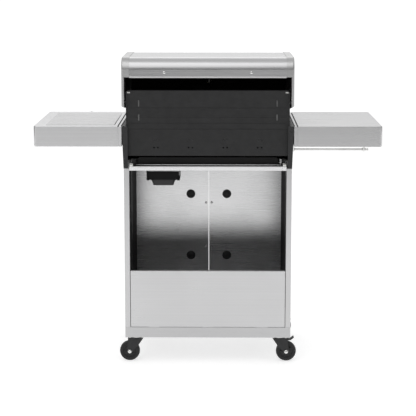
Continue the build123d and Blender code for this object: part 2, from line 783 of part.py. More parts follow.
with BuildPart() as control_panel:
    with BuildSketch(Plane.YZ.offset(-BODY_HALF)):
        folded(
            [
                (FIREBOX_FRONT, PANEL_TOP[1]),
                PANEL_TOP,
                PANEL_FOOT,
                (PANEL_FOOT[0] + 14, PANEL_FOOT[1]),
                (PANEL_FOOT[0] + 14, PANEL_FOOT[1] + 8),
            ],
            Side.LEFT,
            radius=3.5,
        )
    extrude(amount=2 * BODY_HALF)
    for side in (-1, 1):
        with BuildSketch(Plane.YZ.offset(side * (BODY_HALF - SHEET / 2))):
            with BuildLine() as gusset:
                Polyline(
                    (FIREBOX_FRONT, PANEL_TOP[1] - 1),
                    (PANEL_TOP[0] + 1, PANEL_TOP[1] - 1),
                    (PANEL_FOOT[0] + 1, PANEL_FOOT[1] + 1),
                    (FIREBOX_FRONT, PANEL_FOOT[1] + 1),
                    close=True,
                )
            make_face(gusset.line)
        extrude(amount=SHEET / 2, both=True)
    for burner_x in BURNER_X:
        rod(on_panel(burner_x, -6), on_panel(burner_x, 4), 7, mode=Mode.SUBTRACT)
    rod(on_panel(0, -6), on_panel(0, 4), 14, mode=Mode.SUBTRACT)
finish(control_panel, "control_panel")

with BuildPart() as knob_bezels:
    for burner_x in BURNER_X:
        plane = Plane(origin=on_panel(burner_x, 0), z_dir=(0, OUT_Y, OUT_Z))
        with BuildSketch(plane) as ring:
            Circle(33)
            Circle(6, mode=Mode.SUBTRACT)
        extrude(ring.sketch, amount=2.5, taper=20)
    plane = Plane(origin=on_panel(0, 0), z_dir=(0, OUT_Y, OUT_Z))
    with BuildSketch(plane) as ring:
        Circle(18)
        Circle(11.6, mode=Mode.SUBTRACT)
    extrude(ring.sketch, amount=3)
    with BuildSketch(plane) as collar:
        Circle(13.8)
        Circle(11.6, mode=Mode.SUBTRACT)
    extrude(collar.sketch, amount=-14)
    plane = Plane(origin=(SIDE_BURNER_X, FACE, SIDE_KNOB_Z), z_dir=(0, -1, 0))
    with BuildSketch(plane) as ring:
        Circle(33)
        Circle(6, mode=Mode.SUBTRACT)
    extrude(ring.sketch, amount=2.5, taper=20)
finish(knob_bezels, "knob_bezels")

with BuildPart() as gas_manifold:
    rod((-272, MANIFOLD_Y, MANIFOLD_Z), (272, MANIFOLD_Y, MANIFOLD_Z), 9)
    for burner_x in BURNER_X:
        block(
            (burner_x - 10, burner_x + 10),
            (MANIFOLD_Y - 10, MANIFOLD_Y + 9),
            (MANIFOLD_Z + 6, BURNER_Z + 9),
        )
        # jet into the burner tube, and the stem that carries the knob
        rod(
            (burner_x, MANIFOLD_Y + 9, BURNER_Z),
            (burner_x, FIREBOX_FRONT - 1, BURNER_Z),
            5,
        )
        rod(on_panel(burner_x, -16), on_panel(burner_x, 18), STEM)
    # inlet fitting, pointing down
    rod((-262, MANIFOLD_Y, MANIFOLD_Z), (-262, MANIFOLD_Y, 762), 8)
    plane = Plane.XY.offset(762)
    with BuildSketch(plane) as hexagon:
        with Locations((-262, MANIFOLD_Y)):
            RegularPolygon(12, 6)
    extrude(hexagon.sketch, amount=8)
    rod((-262, MANIFOLD_Y, 762), (-262, MANIFOLD_Y, 740), 7.5)
    rod((-262, MANIFOLD_Y, 739), (-262, MANIFOLD_Y, 778), 4, mode=Mode.SUBTRACT)
finish(gas_manifold, "gas_manifold")


def control_knob(origin, out):
    """Knob on a stem along out, its base 3 mm in front of the panel at origin."""
    base = Vector(*origin) + Vector(*out) * 3
    plane = Plane(origin=base, x_dir=(1, 0, 0), z_dir=out)
    with BuildPart() as knob:
        with BuildSketch(plane) as skirt:
            Circle(26)
        extrude(skirt.sketch, amount=8, taper=9)
        with BuildSketch(plane.offset(8)) as grip:
            Circle(19.5)
        extrude(grip.sketch, amount=19, taper=3)
        fillet(knob.edges().filter_by(GeomType.CIRCLE).sort_by(Axis.Y)[0], radius=2.5)
        with BuildSketch(plane.offset(9)) as flutes:
            with PolarLocations(21.2, 12):
                Circle(4)
        extrude(flutes.sketch, amount=22, mode=Mode.SUBTRACT)
        # bore for the stem
        with BuildSketch(plane) as bore:
            Circle(STEM + RUNNING)
        extrude(bore.sketch, amount=16, mode=Mode.SUBTRACT)
        # pointer groove
        with Locations(plane * Location((0, 12, 27))):
            Box(2.4, 12, 2, mode=Mode.SUBTRACT)
    return knob


for number, burner_x in enumerate(BURNER_X, start=1):
    finish(control_knob(on_panel(burner_x, 0), (0, OUT_Y, OUT_Z)), f"knob_{number}")
side_knob_at = (SIDE_BURNER_X, FACE, SIDE_KNOB_Z)
finish(control_knob(side_knob_at, (0, -1, 0)), "knob_side")

with BuildPart() as igniter_button:
    rod(on_panel(0, -12), on_panel(0, 9), 11.0)
    rod(on_panel(0, -20), on_panel(0, -12), 4)
    fillet(igniter_button.edges().filter_by(GeomType.CIRCLE).sort_by(Axis.Y)[0], radius=2)
finish(igniter_button, "igniter_button")

# ---------------------------------------------------------------------- side shelves
SHELF_NEAR = BODY_HALF + 1
SHELF_END = OVERALL_WIDTH / 2
GROOVE = (321.0, 326.0)


with BuildPart() as plain_shelf:
    # a folded shell, open below, with a groove round it near its inner end
    block((SHELF_NEAR, SHELF_END), (FACE, REAR), (SHELF_BOTTOM, SHELF_TOP))
    outer_face = plain_shelf.faces().sort_by(Axis.X)[-1]
    fillet(outer_face.edges().filter_by(Axis.Z), radius=10)
    fillet(plain_shelf.faces().sort_by(Axis.Z)[-1].edges(), radius=3)
    with BuildSketch(Plane.YZ.offset(GROOVE[0])) as ring:
        with Locations(((FACE + REAR) / 2, (SHELF_BOTTOM + SHELF_TOP) / 2)):
            Rectangle(REAR - FACE, SHELF_TOP - SHELF_BOTTOM)
        with Locations(((FACE + REAR) / 2, (SHELF_BOTTOM + SHELF_TOP) / 2 - 4)):
            Rectangle(REAR - FACE - 8, SHELF_TOP - SHELF_BOTTOM, mode=Mode.SUBTRACT)
    extrude(ring.sketch, amount=GROOVE[1] - GROOVE[0], mode=Mode.SUBTRACT)
    for low, high, skin in (
        (SHELF_NEAR + SHEET, GROOVE[0] - SHEET, SHEET),
        (GROOVE[0] - SHEET, GROOVE[1] + SHEET, 4 + SHEET),
        (GROOVE[1] + SHEET, SHELF_END - SHEET, SHEET),
    ):
        block(
            (low, high),
            (FACE + skin, REAR - skin),
            (SHELF_BOTTOM - 1, SHELF_TOP - skin),
            mode=Mode.SUBTRACT,
        )
    # turned-in lips along the lower edges
    for edge, way in ((FACE, 1), (REAR, -1)):
        block(
            (GROOVE[1] + 4, SHELF_END - 14),
            (edge + way * 1, edge + way * 14),
            (SHELF_BOTTOM, SHELF_BOTTOM + SHEET),
        )
mirrored(plain_shelf, "side_shelf_left")

with BuildPart() as side_shelf_right:
    add(plain_shelf.part)
    block(LID_X, LID_Y, (SHELF_TOP - 8, SHELF_TOP + 1), mode=Mode.SUBTRACT)
    # edges of the opening, turned down
    block(
        (LID_X[0] - SHEET, LID_X[1] + SHEET),
        (LID_Y[0] - SHEET, LID_Y[1] + SHEET),
        (SHELF_TOP - 19, SHELF_TOP - SHEET),
    )
    block(LID_X, LID_Y, (SHELF_TOP - 20, SHELF_TOP + 1), mode=Mode.SUBTRACT)
    LID_PIVOT_Y = LID_Y[1] - 11
    LID_PIVOT_Z = SHELF_TOP - 6
    rod(
        (LID_X[0] - 3, LID_PIVOT_Y, LID_PIVOT_Z),
        (LID_X[1] + 3, LID_PIVOT_Y, LID_PIVOT_Z),
        2 + RUNNING,
        mode=Mode.SUBTRACT,
    )
    rod(
        (SIDE_BURNER_X, FACE - 1, SIDE_KNOB_Z),
        (SIDE_BURNER_X, FACE + 3, SIDE_KNOB_Z),
        7,
        mode=Mode.SUBTRACT,
    )
finish(side_shelf_right, "side_shelf_right")

with BuildPart() as towel_rail:
    rail_y = FACE + 10
    rail_z = 737
    rod((-318, rail_y, rail_z), (-627, rail_y, rail_z), 5)
    rod((-627, rail_y, rail_z), (-630, rail_y, rail_z), 6.5)
    for hanger_x in (-334, -612):
        block((hanger_x - 2, hanger_x + 2), (rail_y - 9, rail_y + 9), (rail_z, SHELF_BOTTOM))
        rod((hanger_x - 2, rail_y, rail_z), (hanger_x + 2, rail_y, rail_z), 9)
        block(
            (hanger_x - 12, hanger_x + 2),
            (rail_y - 9, rail_y + 9),
            (SHELF_BOTTOM - 2, SHELF_BOTTOM),
        )
finish(towel_rail, "towel_rail")

# ----------------------------------------------------------------------- side burner
BOWL_TOP = SHELF_TOP - 19
BOWL_FLOOR = 826.0

with BuildPart() as side_burner_bowl:
    with BuildSketch(Plane.XY.offset(BOWL_FLOOR)):
        with Locations((SIDE_BURNER_X, SIDE_BURNER_Y)):
            RectangleRounded(214, 350, 24)
    with BuildSketch(Plane.XY.offset(BOWL_TOP)):
        with Locations((SIDE_BURNER_X, SIDE_BURNER_Y)):
            RectangleRounded(236, 374, 30)
    loft()
    block(
        (LID_X[0] - 5, LID_X[1] + 5),
        (LID_Y[0] - 5, LID_Y[1] + 5),
        (BOWL_TOP - SHEET, BOWL_TOP),
    )
    with BuildSketch(Plane.XY.offset(BOWL_FLOOR + SHEET)):
        with Locations((SIDE_BURNER_X, SIDE_BURNER_Y)):
            RectangleRounded(211, 347, 22.5)
    with BuildSketch(Plane.XY.offset(BOWL_TOP + 0.5)):
        with Locations((SIDE_BURNER_X, SIDE_BURNER_Y)):
            RectangleRounded(233, 371, 28.5)
    loft(mode=Mode.SUBTRACT)
    rod(
        (SIDE_BURNER_X, LID_Y[0] - 5, SIDE_KNOB_Z - 8),
        (SIDE_BURNER_X, -100, SIDE_KNOB_Z - 8),
        9,
        mode=Mode.SUBTRACT,
    )
finish(side_burner_bowl, "side_burner_bowl")

with BuildPart() as side_burner_head:
    rod((SIDE_BURNER_X, SIDE_BURNER_Y, BOWL_FLOOR + SHEET), (SIDE_BURNER_X, SIDE_BURNER_Y, 846), 24)
    with BuildSketch(Plane.XY.offset(846)):
        with Locations((SIDE_BURNER_X, SIDE_BURNER_Y)):
            Circle(40)
    extrude(amount=9)
    with BuildSketch(Plane.XY.offset(855)):
        with Locations((SIDE_BURNER_X, SIDE_BURNER_Y)):
            Circle(37)
    extrude(amount=6, taper=50)
    # flame ports round the head
    with Locations((SIDE_BURNER_X, SIDE_BURNER_Y, 853.6)):
        with PolarLocations(39, 24):
            Box(5, 2, 3, mode=Mode.SUBTRACT)
    # mixing tube forward to the valve, and the valve's stem
    rod(
        (SIDE_BURNER_X, SIDE_BURNER_Y, SIDE_KNOB_Z - 8),
        (SIDE_BURNER_X, FACE + 30, SIDE_KNOB_Z - 8),
        7,
    )
    block(
        (SIDE_BURNER_X - 11, SIDE_BURNER_X + 11),
        (FACE + 8, FACE + 32),
        (SIDE_KNOB_Z - 18, SIDE_KNOB_Z + 11),
    )
    rod(
        (SIDE_BURNER_X, FACE + 10, SIDE_KNOB_Z),
        (SIDE_BURNER_X, FACE - 18, SIDE_KNOB_Z),
        STEM,
    )
finish(side_burner_head, "side_burner_head")

with BuildPart() as side_burner_grate:
    with BuildSketch(Plane.XY.offset(BOWL_TOP)) as frame:
        with Locations((SIDE_BURNER_X, SIDE_BURNER_Y)):
            Rectangle(240, 344)
            Rectangle(224, 328, mode=Mode.SUBTRACT)
    extrude(frame.sketch, amount=8)
    for turn in (0, 90, 180, 270):
        reach = 116 if turn in (0, 180) else 168
        with BuildSketch(Plane.XY.offset(BOWL_TOP)) as arm:
            with Locations(Location((SIDE_BURNER_X, SIDE_BURNER_Y, 0), (0, 0, turn))):
                with Locations(((reach + 18) / 2, 0)):
                    Rectangle(reach - 18, 8)
        extrude(arm.sketch, amount=13)
    with BuildSketch(Plane.XY.offset(BOWL_TOP)) as ring:
        with Locations((SIDE_BURNER_X, SIDE_BURNER_Y)):
            Circle(62)
            Circle(54, mode=Mode.SUBTRACT)
    extrude(ring.sketch, amount=8)
finish(side_burner_grate, "side_burner_grate")

with BuildPart() as side_burner_lid:
    block(
        (LID_X[0] + 0.8, LID_X[1] - 0.8),
        (LID_Y[0] + 1, LID_PIVOT_Y + 6.5),
        (SHELF_TOP - 12, SHELF_TOP + 2),
    )
    fillet(side_burner_lid.faces().sort_by(Axis.Z)[-1].edges(), radius=2.2)
    block(
        (LID_X[0] + 0.8 + SHEET, LID_X[1] - 0.8 - SHEET),
        (LID_Y[0] + 1 + SHEET, LID_PIVOT_Y + 6.5 - SHEET),
        (SHELF_TOP - 13, SHELF_TOP + 2 - SHEET),
        mode=Mode.SUBTRACT,
    )
    for side, hinge_x in ((-1, LID_X[0]), (1, LID_X[1])):
        rod(
            (hinge_x + side * SHEET, LID_PIVOT_Y, LID_PIVOT_Z),
            (hinge_x - side * 2.3, LID_PIVOT_Y, LID_PIVOT_Z),
            2,
        )
finish(side_burner_lid, "side_burner_lid")

# ------------------------------------------------------------------------------ hood
SKIN_HALF = 301.5
CAP_INNER = 282.0           # the end castings' rims lap over the skin from here out
BEAD_RADIUS = 3.0
RIVET_X = 157.0
RIVET_Z = 1078.0
FRONT_CENTRE = (FACE + HOOD_FRONT_RADIUS, HOOD_TOP - CAP_GROW - HOOD_FRONT_RADIUS)


def hood_outline(grow):
    """Lines from the hood's rear lip over the top to its front edge, grown outwards."""
    rear = HOOD_REAR + grow
    top = HOOD_TOP - CAP_GROW + grow
    front = FACE - grow
    rear_radius = HOOD_REAR_RADIUS + grow
    front_radius = HOOD_FRONT_RADIUS + grow
    Line((rear, HOOD_LIP), (rear, top - rear_radius))
    ThreePointArc(
        (rear, top - rear_radius),
        (
            rear - rear_radius + rear_radius * math.cos(math.pi / 4),
            top - rear_radius + rear_radius * math.sin(math.pi / 4),
        ),
        (rear - rear_radius, top),
    )
    Line((rear - rear_radius, top), (front + front_radius, top))
    ThreePointArc(
        (front + front_radius, top),
        (
            front + front_radius - front_radius * math.cos(math.pi / 4),
            top - front_radius + front_radius * math.sin(math.pi / 4),
        ),
        (front, top - front_radius),
    )
    Line((front, top - front_radius), (front, HOOD_FRONT_Z))


THERMO_ANGLE = math.radians(24)
THERMO_OUT = (0, -math.cos(THERMO_ANGLE), math.sin(THERMO_ANGLE))
THERMO_AT = (
    0,
    FRONT_CENTRE[0] - HOOD_FRONT_RADIUS * math.cos(THERMO_ANGLE),
    FRONT_CENTRE[1] + HOOD_FRONT_RADIUS * math.sin(THERMO_ANGLE),
)


def at_thermometer(out):
    """Point on the thermometer's axis, a distance out from the hood's skin."""
    return tuple(Vector(*THERMO_AT) + Vector(*THERMO_OUT) * out)


with BuildPart() as hood_skin:
    with BuildSketch(Plane.YZ.offset(-SKIN_HALF)):
        with BuildLine() as sheet:
            hood_outline(0)
            offset(amount=SHEET, side=Side.LEFT)
        make_face(sheet.line)
    extrude(amount=2 * SKIN_HALF)
    # rolled bead along the rear lip, and two rivets above it
    bead_y = REAR - BEAD_RADIUS
    rod((-CAP_INNER, bead_y, HOOD_LIP), (CAP_INNER, bead_y, HOOD_LIP), BEAD_RADIUS)
    for side in (-1, 1):
        rod(
            (side * RIVET_X, HOOD_REAR, RIVET_Z),
            (side * RIVET_X, HOOD_REAR + 2, RIVET_Z),
            4.5,
        )
    rod(at_thermometer(-20), at_thermometer(20), 12, mode=Mode.SUBTRACT)
finish(hood_skin, "hood_skin")

with BuildPart() as hood_end_right:
    with BuildSketch(Plane.YZ.offset(CAP_INNER + 1)):
        with BuildLine() as cap:
            hood_outline(CAP_GROW)
            Line((FACE - CAP_GROW, HOOD_FRONT_Z), (FACE - CAP_GROW, CAP_FRONT_Z))
            Line((FACE - CAP_GROW, CAP_FRONT_Z), (HOOD_REAR + CAP_GROW, CAP_REAR_Z))
            Line((HOOD_REAR + CAP_GROW, CAP_REAR_Z), (HOOD_REAR + CAP_GROW, HOOD_LIP))
        make_face(cap.line)
    extrude(amount=BODY_HALF - CAP_INNER - 1)
    fillet(hood_end_right.faces().sort_by(Axis.X)[-1].edges(), radius=6)
    # the rim laps over the skin; the skin's own outline is cut away inside it
    with BuildSketch(Plane.YZ.offset(CAP_INNER)):
        with BuildLine() as inside:
            hood_outline(0)
            Line((FACE, HOOD_FRONT_Z), (FACE, CAP_FRONT_Z - 3))
            Line((FACE, CAP_FRONT_Z - 3), (HOOD_REAR, CAP_FRONT_Z - 3))
            Line((HOOD_REAR, CAP_FRONT_Z - 3), (HOOD_REAR, HOOD_LIP))
        make_face(inside.line)
    extrude(amount=SKIN_HALF - CAP_INNER, mode=Mode.SUBTRACT)
    block(
        (CAP_INNER, SKIN_HALF),
        (HOOD_REAR - 1, HOOD_REAR + 3),
        (CAP_REAR_Z - 10, HOOD_LIP),
        mode=Mode.SUBTRACT,
    )
    block(
        (CAP_INNER, SKIN_HALF),
        (FACE - 3, FACE + 1),
        (CAP_FRONT_Z - 10, HOOD_FRONT_Z),
        mode=Mode.SUBTRACT,
    )
    # pocket in the back of the casting, and the pivot on its boss
    with BuildSketch(Plane.YZ.offset(SKIN_HALF - 1)):
        with BuildLine() as pocket:
            Polyline(
                (250, 966),
                (250, 1085),
                (215, 1118),
                (-20, 1118),
                (-140, 1075),
                (-198, 960),
                (-200, 902),
                close=True,
            )
        make_face(pocket.line)
    extrude(amount=6.5, mode=Mode.SUBTRACT)
    rod((307, PIVOT_Y, PIVOT_Z), (SKIN_HALF, PIVOT_Y, PIVOT_Z), 10)
    rod((307, PIVOT_Y, PIVOT_Z), (INSIDE - 4, PIVOT_Y, PIVOT_Z), PIVOT_RADIUS)
finish(hood_end_right, "hood_end_right")
mirrored(hood_end_right, "hood_end_left")

with BuildPart() as hood_handle:
    bar_y = FRONT + 12.5
    bar_z = 914
    rod((-262, bar_y, bar_z), (262, bar_y, bar_z), 12.5)
    fillet(hood_handle.edges().filter_by(GeomType.CIRCLE), radius=3)
    for side in (-1, 1):
        post_x = side * 232
        block((post_x - 9, post_x + 9), (bar_y, FACE), (bar_z - 9, bar_z + 9))
        block((post_x - 15, post_x + 15), (FACE - 4, FACE), (bar_z - 15, bar_z + 15))
finish(hood_handle, "hood_handle")

DIAL = 3.0
with BuildPart() as thermometer_case:
    plane = Plane(origin=at_thermometer(-4), x_dir=(1, 0, 0), z_dir=THERMO_OUT)
    with BuildSketch(plane) as body:
        Circle(37)
    extrude(body.sketch, amount=17)
    fillet(thermometer_case.edges().filter_by(GeomType.CIRCLE).sort_by(Axis.Y)[0], radius=3)
    # the part of the case inside the skin is cut away, leaving its neck
    with BuildSketch(Plane.YZ) as inner:
        with Locations((FRONT_CENTRE[0], FRONT_CENTRE[1])):
            Circle(HOOD_FRONT_RADIUS + 0.05)
    extrude(inner.sketch, amount=60, both=True, mode=Mode.SUBTRACT)
    with BuildSketch(plane.offset(4 + DIAL)) as well:
        Circle(33)
    extrude(well.sketch, amount=20, mode=Mode.SUBTRACT)
    rod(at_thermometer(-42), at_thermometer(-2), 3)
    rod(at_thermometer(-8), at_thermometer(DIAL), 11.5)
    rod(at_thermometer(DIAL), at_thermometer(DIAL + 5.5), 1.5)
finish(thermometer_case, "thermometer_case")

with BuildPart() as thermometer_needle:
    plane = Plane(origin=at_thermometer(DIAL + 2), x_dir=(1, 0, 0), z_dir=THERMO_OUT)
    lean = math.radians(225)
    tip = (26 * math.cos(lean), 26 * math.sin(lean))
    across = (2 * math.sin(lean), -2 * math.cos(lean))
    tail = (-9 * math.cos(lean), -9 * math.sin(lean))
    with BuildSketch(plane) as hand:
        with BuildLine() as outline:
            Polyline(tip, across, tail, (-across[0], -across[1]), close=True)
        make_face(outline.line)
        Circle(3.5)
        Circle(1.5 + RUNNING, mode=Mode.SUBTRACT)
    extrude(hand.sketch, amount=1)
finish(thermometer_needle, "thermometer_needle")
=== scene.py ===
import math
import bmesh
import bpy
import numpy as np
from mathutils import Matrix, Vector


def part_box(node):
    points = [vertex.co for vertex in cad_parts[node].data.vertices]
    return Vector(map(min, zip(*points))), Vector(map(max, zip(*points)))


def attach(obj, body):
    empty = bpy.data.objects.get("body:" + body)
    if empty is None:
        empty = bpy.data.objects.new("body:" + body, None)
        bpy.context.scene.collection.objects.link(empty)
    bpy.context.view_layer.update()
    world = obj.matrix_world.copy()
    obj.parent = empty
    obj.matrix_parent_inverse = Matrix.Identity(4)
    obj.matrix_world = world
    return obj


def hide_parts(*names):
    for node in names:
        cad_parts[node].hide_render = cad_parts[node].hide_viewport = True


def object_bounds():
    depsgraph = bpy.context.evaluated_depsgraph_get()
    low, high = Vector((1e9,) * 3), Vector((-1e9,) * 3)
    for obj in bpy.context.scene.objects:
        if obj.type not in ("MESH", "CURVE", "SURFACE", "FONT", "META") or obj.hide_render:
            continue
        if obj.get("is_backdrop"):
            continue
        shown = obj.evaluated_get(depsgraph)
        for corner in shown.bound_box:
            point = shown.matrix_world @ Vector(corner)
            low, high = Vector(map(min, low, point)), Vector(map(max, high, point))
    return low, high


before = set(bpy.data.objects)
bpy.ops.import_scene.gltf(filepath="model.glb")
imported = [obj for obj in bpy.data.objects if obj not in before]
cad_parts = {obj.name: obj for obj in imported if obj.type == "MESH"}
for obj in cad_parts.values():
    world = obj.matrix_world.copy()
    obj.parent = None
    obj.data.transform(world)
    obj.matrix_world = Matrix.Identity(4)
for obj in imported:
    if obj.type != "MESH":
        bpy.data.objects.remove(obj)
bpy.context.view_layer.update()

# ------------------------------------------------------------
# Studio. The grill stands on a white floor in a white room and is looked at from behind
# and a little above, with a long lens. The room is darker near the horizon, so that
# upright steel faces reflect grey and faces that look down or up reflect white.

CAMERA_AT = (-0.0481, 5.175, 1.471)
CAMERA_DOWN = 9.19      # degrees below the horizon
CAMERA_TURN = 0.553     # degrees towards -X
SHARP_EDGE = 32.0       # degrees: edges sharper than this stay sharp


def linked(name, data):
    """New object in the scene that shows the data: a mesh, curve, lamp or camera."""
    made = bpy.data.objects.new(name, data)
    bpy.context.collection.objects.link(made)
    return made


camera_data = bpy.data.cameras.new("studio_camera")
camera_data.lens = 118.5
camera_data.sensor_width = 36.0
camera_data.shift_y = -0.06
camera_data.clip_end = 200.0
camera = linked("studio_camera", camera_data)
camera.location = CAMERA_AT
camera.rotation_euler = (
    math.radians(90.0 - CAMERA_DOWN),
    0.0,
    math.radians(180.0 + CAMERA_TURN),
)
bpy.context.scene.camera = camera
bpy.context.scene.view_settings.view_transform = "Standard"


def node_material(name, colour, metallic=0.0, roughness=0.5, specular=0.5):
    """New material with one Principled shader. Returns it, its node tree and the shader."""
    material = bpy.data.materials.new(name)
    material.use_nodes = True
    tree = material.node_tree
    shader = tree.nodes["Principled BSDF"]
    shader.inputs["Base Color"].default_value = (*colour, 1.0)
    shader.inputs["Metallic"].default_value = metallic
    shader.inputs["Roughness"].default_value = roughness
    shader.inputs["Specular IOR Level"].default_value = specular
    return material, tree, shader


def mesh_piece(name, sheets, material):
    """Object made of grids of points. Each sheet is an (m, n, 3) array, and its quads join
    neighbours along both axes. Doubles are merged, so rings and poles close up, and the
    faces are turned outwards."""
    points, quads, first = [], [], 0
    for sheet in sheets:
        rows, columns = sheet.shape[:2]
        index = first + np.arange(rows * columns).reshape(rows, columns)
        corners = (index[:-1, :-1], index[1:, :-1], index[1:, 1:], index[:-1, 1:])
        quads.append(np.stack(corners, axis=-1).reshape(-1, 4))
        points.append(sheet.reshape(-1, 3))
        first += rows * columns
    mesh = bpy.data.meshes.new(name)
    mesh.from_pydata(np.concatenate(points).tolist(), [], np.concatenate(quads).tolist())
    work = bmesh.new()
    work.from_mesh(mesh)
    bmesh.ops.remove_doubles(work, verts=work.verts, dist=1e-6)
    bmesh.ops.dissolve_degenerate(work, dist=1e-7, edges=work.edges)
    bmesh.ops.recalc_face_normals(work, faces=work.faces)
    work.to_mesh(mesh)
    work.free()
    mesh.polygons.foreach_set("use_smooth", np.ones(len(mesh.polygons), dtype=bool))
    mesh.set_sharp_from_angle(angle=math.radians(SHARP_EDGE))
    mesh.materials.append(material)
    return linked(name, mesh)


def fitted(name, sheets, material, body, replaces=None):
    """A finished piece on its body and the CAD node it stands for."""
    piece = mesh_piece(name, sheets, material)
    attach(piece, body)
    if replaces:
        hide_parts(replaces)
    return piece


FLOOR_WHITE = 0.62      # share of light that it throws back, and its own glow
FLOOR_SIDE = 12.0
FLOOR_FRONT = -7.0
FLOOR_REAR = 8.0
floor_material, _, floor_shader = node_material("studio_floor", [FLOOR_WHITE] * 3, 0.0, 0.9, 0.0)
floor_shader.inputs["Emission Color"].default_value = (1.0, 1.0, 1.0, 1.0)
floor_shader.inputs["Emission Strength"].default_value = FLOOR_WHITE
floor_x = np.array([-FLOOR_SIDE, FLOOR_SIDE])
floor_y = np.array([FLOOR_FRONT, FLOOR_REAR])
floor_grid = np.stack([*np.meshgrid(floor_x, floor_y, indexing="ij"), np.zeros((2, 2))], axis=-1)
floor = mesh_piece("studio_floor", [floor_grid], floor_material)
floor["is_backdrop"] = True

# The room's brightness rises along one direction: dark low behind the grill, white above
# it and in front of it. What the camera sees past the floor is plain white.
BRIGHT_WAY = (0.0, -0.55, 0.83)
ROOM_DARK_AT, ROOM_LIGHT_AT = -0.50, 0.45   # how far along that direction it rises
ROOM_DARK, ROOM_LIGHT = 0.10, 0.72
ROOM_SEEN = 1.1
world = bpy.data.worlds.new("studio_room")
bpy.context.scene.world = world
world.use_nodes = True
room = world.node_tree
room_light = room.nodes["Background"]
room_light.inputs["Strength"].default_value = 1.0
room_direction = room.nodes.new("ShaderNodeTexCoord")
room_height = room.nodes.new("ShaderNodeVectorMath")
room_height.operation = "DOT_PRODUCT"
room_height.inputs[1].default_value = BRIGHT_WAY
room_range = room.nodes.new("ShaderNodeMapRange")
room_range.inputs["From Min"].default_value = ROOM_DARK_AT
room_range.inputs["From Max"].default_value = ROOM_LIGHT_AT
room_ramp = room.nodes.new("ShaderNodeValToRGB")
for stop, grey in zip(room_ramp.color_ramp.elements, (ROOM_DARK, ROOM_LIGHT)):
    stop.color = (grey, grey, grey, 1.0)
room_seen = room.nodes.new("ShaderNodeLightPath")
room_mix = room.nodes.new("ShaderNodeMix")
room_mix.data_type = "RGBA"
room_mix.inputs["B"].default_value = (ROOM_SEEN, ROOM_SEEN, ROOM_SEEN, 1.0)
room.links.new(room_direction.outputs["Generated"], room_height.inputs[0])
room.links.new(room_height.outputs["Value"], room_range.inputs["Value"])
room.links.new(room_range.outputs["Result"], room_ramp.inputs["Fac"])
room.links.new(room_ramp.outputs["Color"], room_mix.inputs["A"])
room.links.new(room_seen.outputs["Is Camera Ray"], room_mix.inputs["Factor"])
room.links.new(room_mix.outputs["Result"], room_light.inputs["Color"])


def soft_box(name, place, target, size, power):
    """Square area light of the given size at a place, turned to its target."""
    data = bpy.data.lights.new(name, "AREA")
    data.shape = "SQUARE"
    data.size = size
    data.energy = power
    lamp = linked(name, data)
    reach = np.array(target) - np.array(place)
    flat = math.hypot(reach[0], reach[1])
    lamp.location = place
    lamp.rotation_euler = (
        math.pi / 2 + math.atan2(reach[2], flat),
        0.0,
        math.atan2(reach[1], reach[0]) - math.pi / 2,
    )


soft_box("soft_box_rear", (1.1, 3.9, 4.1), (0.1, 1.4, 0.0), 5.0, 72.0)
soft_box("soft_box_front", (0.0, -3.4, 3.4), (0.0, 0.0, 0.6), 3.2, 23.0)

# ------------------------------------------------------------
# Cart. Base pan, side panels, lower rear panel and cross rails are folded from 1.5 mm
# stainless sheet, rubbed to a straight grain, and screwed together through the sides.

STEEL = (0.60, 0.60, 0.605)
NOISE_LOW, NOISE_HIGH = 0.3, 0.7    # nearly all of a noise pattern lies between these


def pattern(tree, grains, detail=3.0, roughness=0.5):
    """Noise over Object coordinates, with so many grains per metre: one number, or one
    for each axis, where a small number draws the grain out along its axis."""
    place = tree.nodes.new("ShaderNodeTexCoord")
    mapping = tree.nodes.new("ShaderNodeMapping")
    mapping.inputs["Scale"].default_value = np.broadcast_to(grains, 3).tolist()
    noise = tree.nodes.new("ShaderNodeTexNoise")
    noise.inputs["Scale"].default_value = 1.0
    noise.inputs["Detail"].default_value = detail
    noise.inputs["Roughness"].default_value = roughness
    tree.links.new(place.outputs["Object"], mapping.inputs["Vector"])
    tree.links.new(mapping.outputs["Vector"], noise.inputs["Vector"])
    return noise.outputs[0]


def between(tree, noise, low, high):
    """The noise spread out to a number from low to high."""
    node = tree.nodes.new("ShaderNodeMapRange")
    ends = {"From Min": NOISE_LOW, "From Max": NOISE_HIGH, "To Min": low, "To Max": high}
    for socket, value in ends.items():
        node.inputs[socket].default_value = value
    tree.links.new(noise, node.inputs["Value"])
    return node.outputs["Result"]


def total(tree, first, second):
    """The sum of two numbers."""
    node = tree.nodes.new("ShaderNodeMath")
    tree.links.new(first, node.inputs[0])
    tree.links.new(second, node.inputs[1])
    return node.outputs[0]


def polished(tree, shader, *parts):
    """Roughness of the shader: the sum of the parts."""
    level = parts[0]
    for part in parts[1:]:
        level = total(tree, level, part)
    tree.links.new(level, shader.inputs["Roughness"])


def tinted(tree, shader, source, stops):
    """Colour of the shader: a ramp over the source, from (position, colour) stops."""
    node = tree.nodes.new("ShaderNodeValToRGB")
    ramp = node.color_ramp
    while len(ramp.elements) < len(stops):
        ramp.elements.new(0.5)
    for element, (position, colour) in zip(ramp.elements, stops):
        element.position = position
        element.color = (*colour, 1.0)
    tree.links.new(source, node.inputs["Fac"])
    tree.links.new(node.outputs["Color"], shader.inputs["Base Color"])


def raised(tree, shader, height, depth):
    """Relief under the shader: the height's full range is the depth in metres."""
    node = tree.nodes.new("ShaderNodeBump")
    node.inputs["Distance"].default_value = depth
    tree.links.new(height, node.inputs["Height"])
    tree.links.new(node.outputs["Normal"], shader.inputs["Normal"])


def shaded(colour, factor):
    """A colour made lighter or darker by a factor."""
    return tuple(min(1.0, channel * factor) for channel in colour)


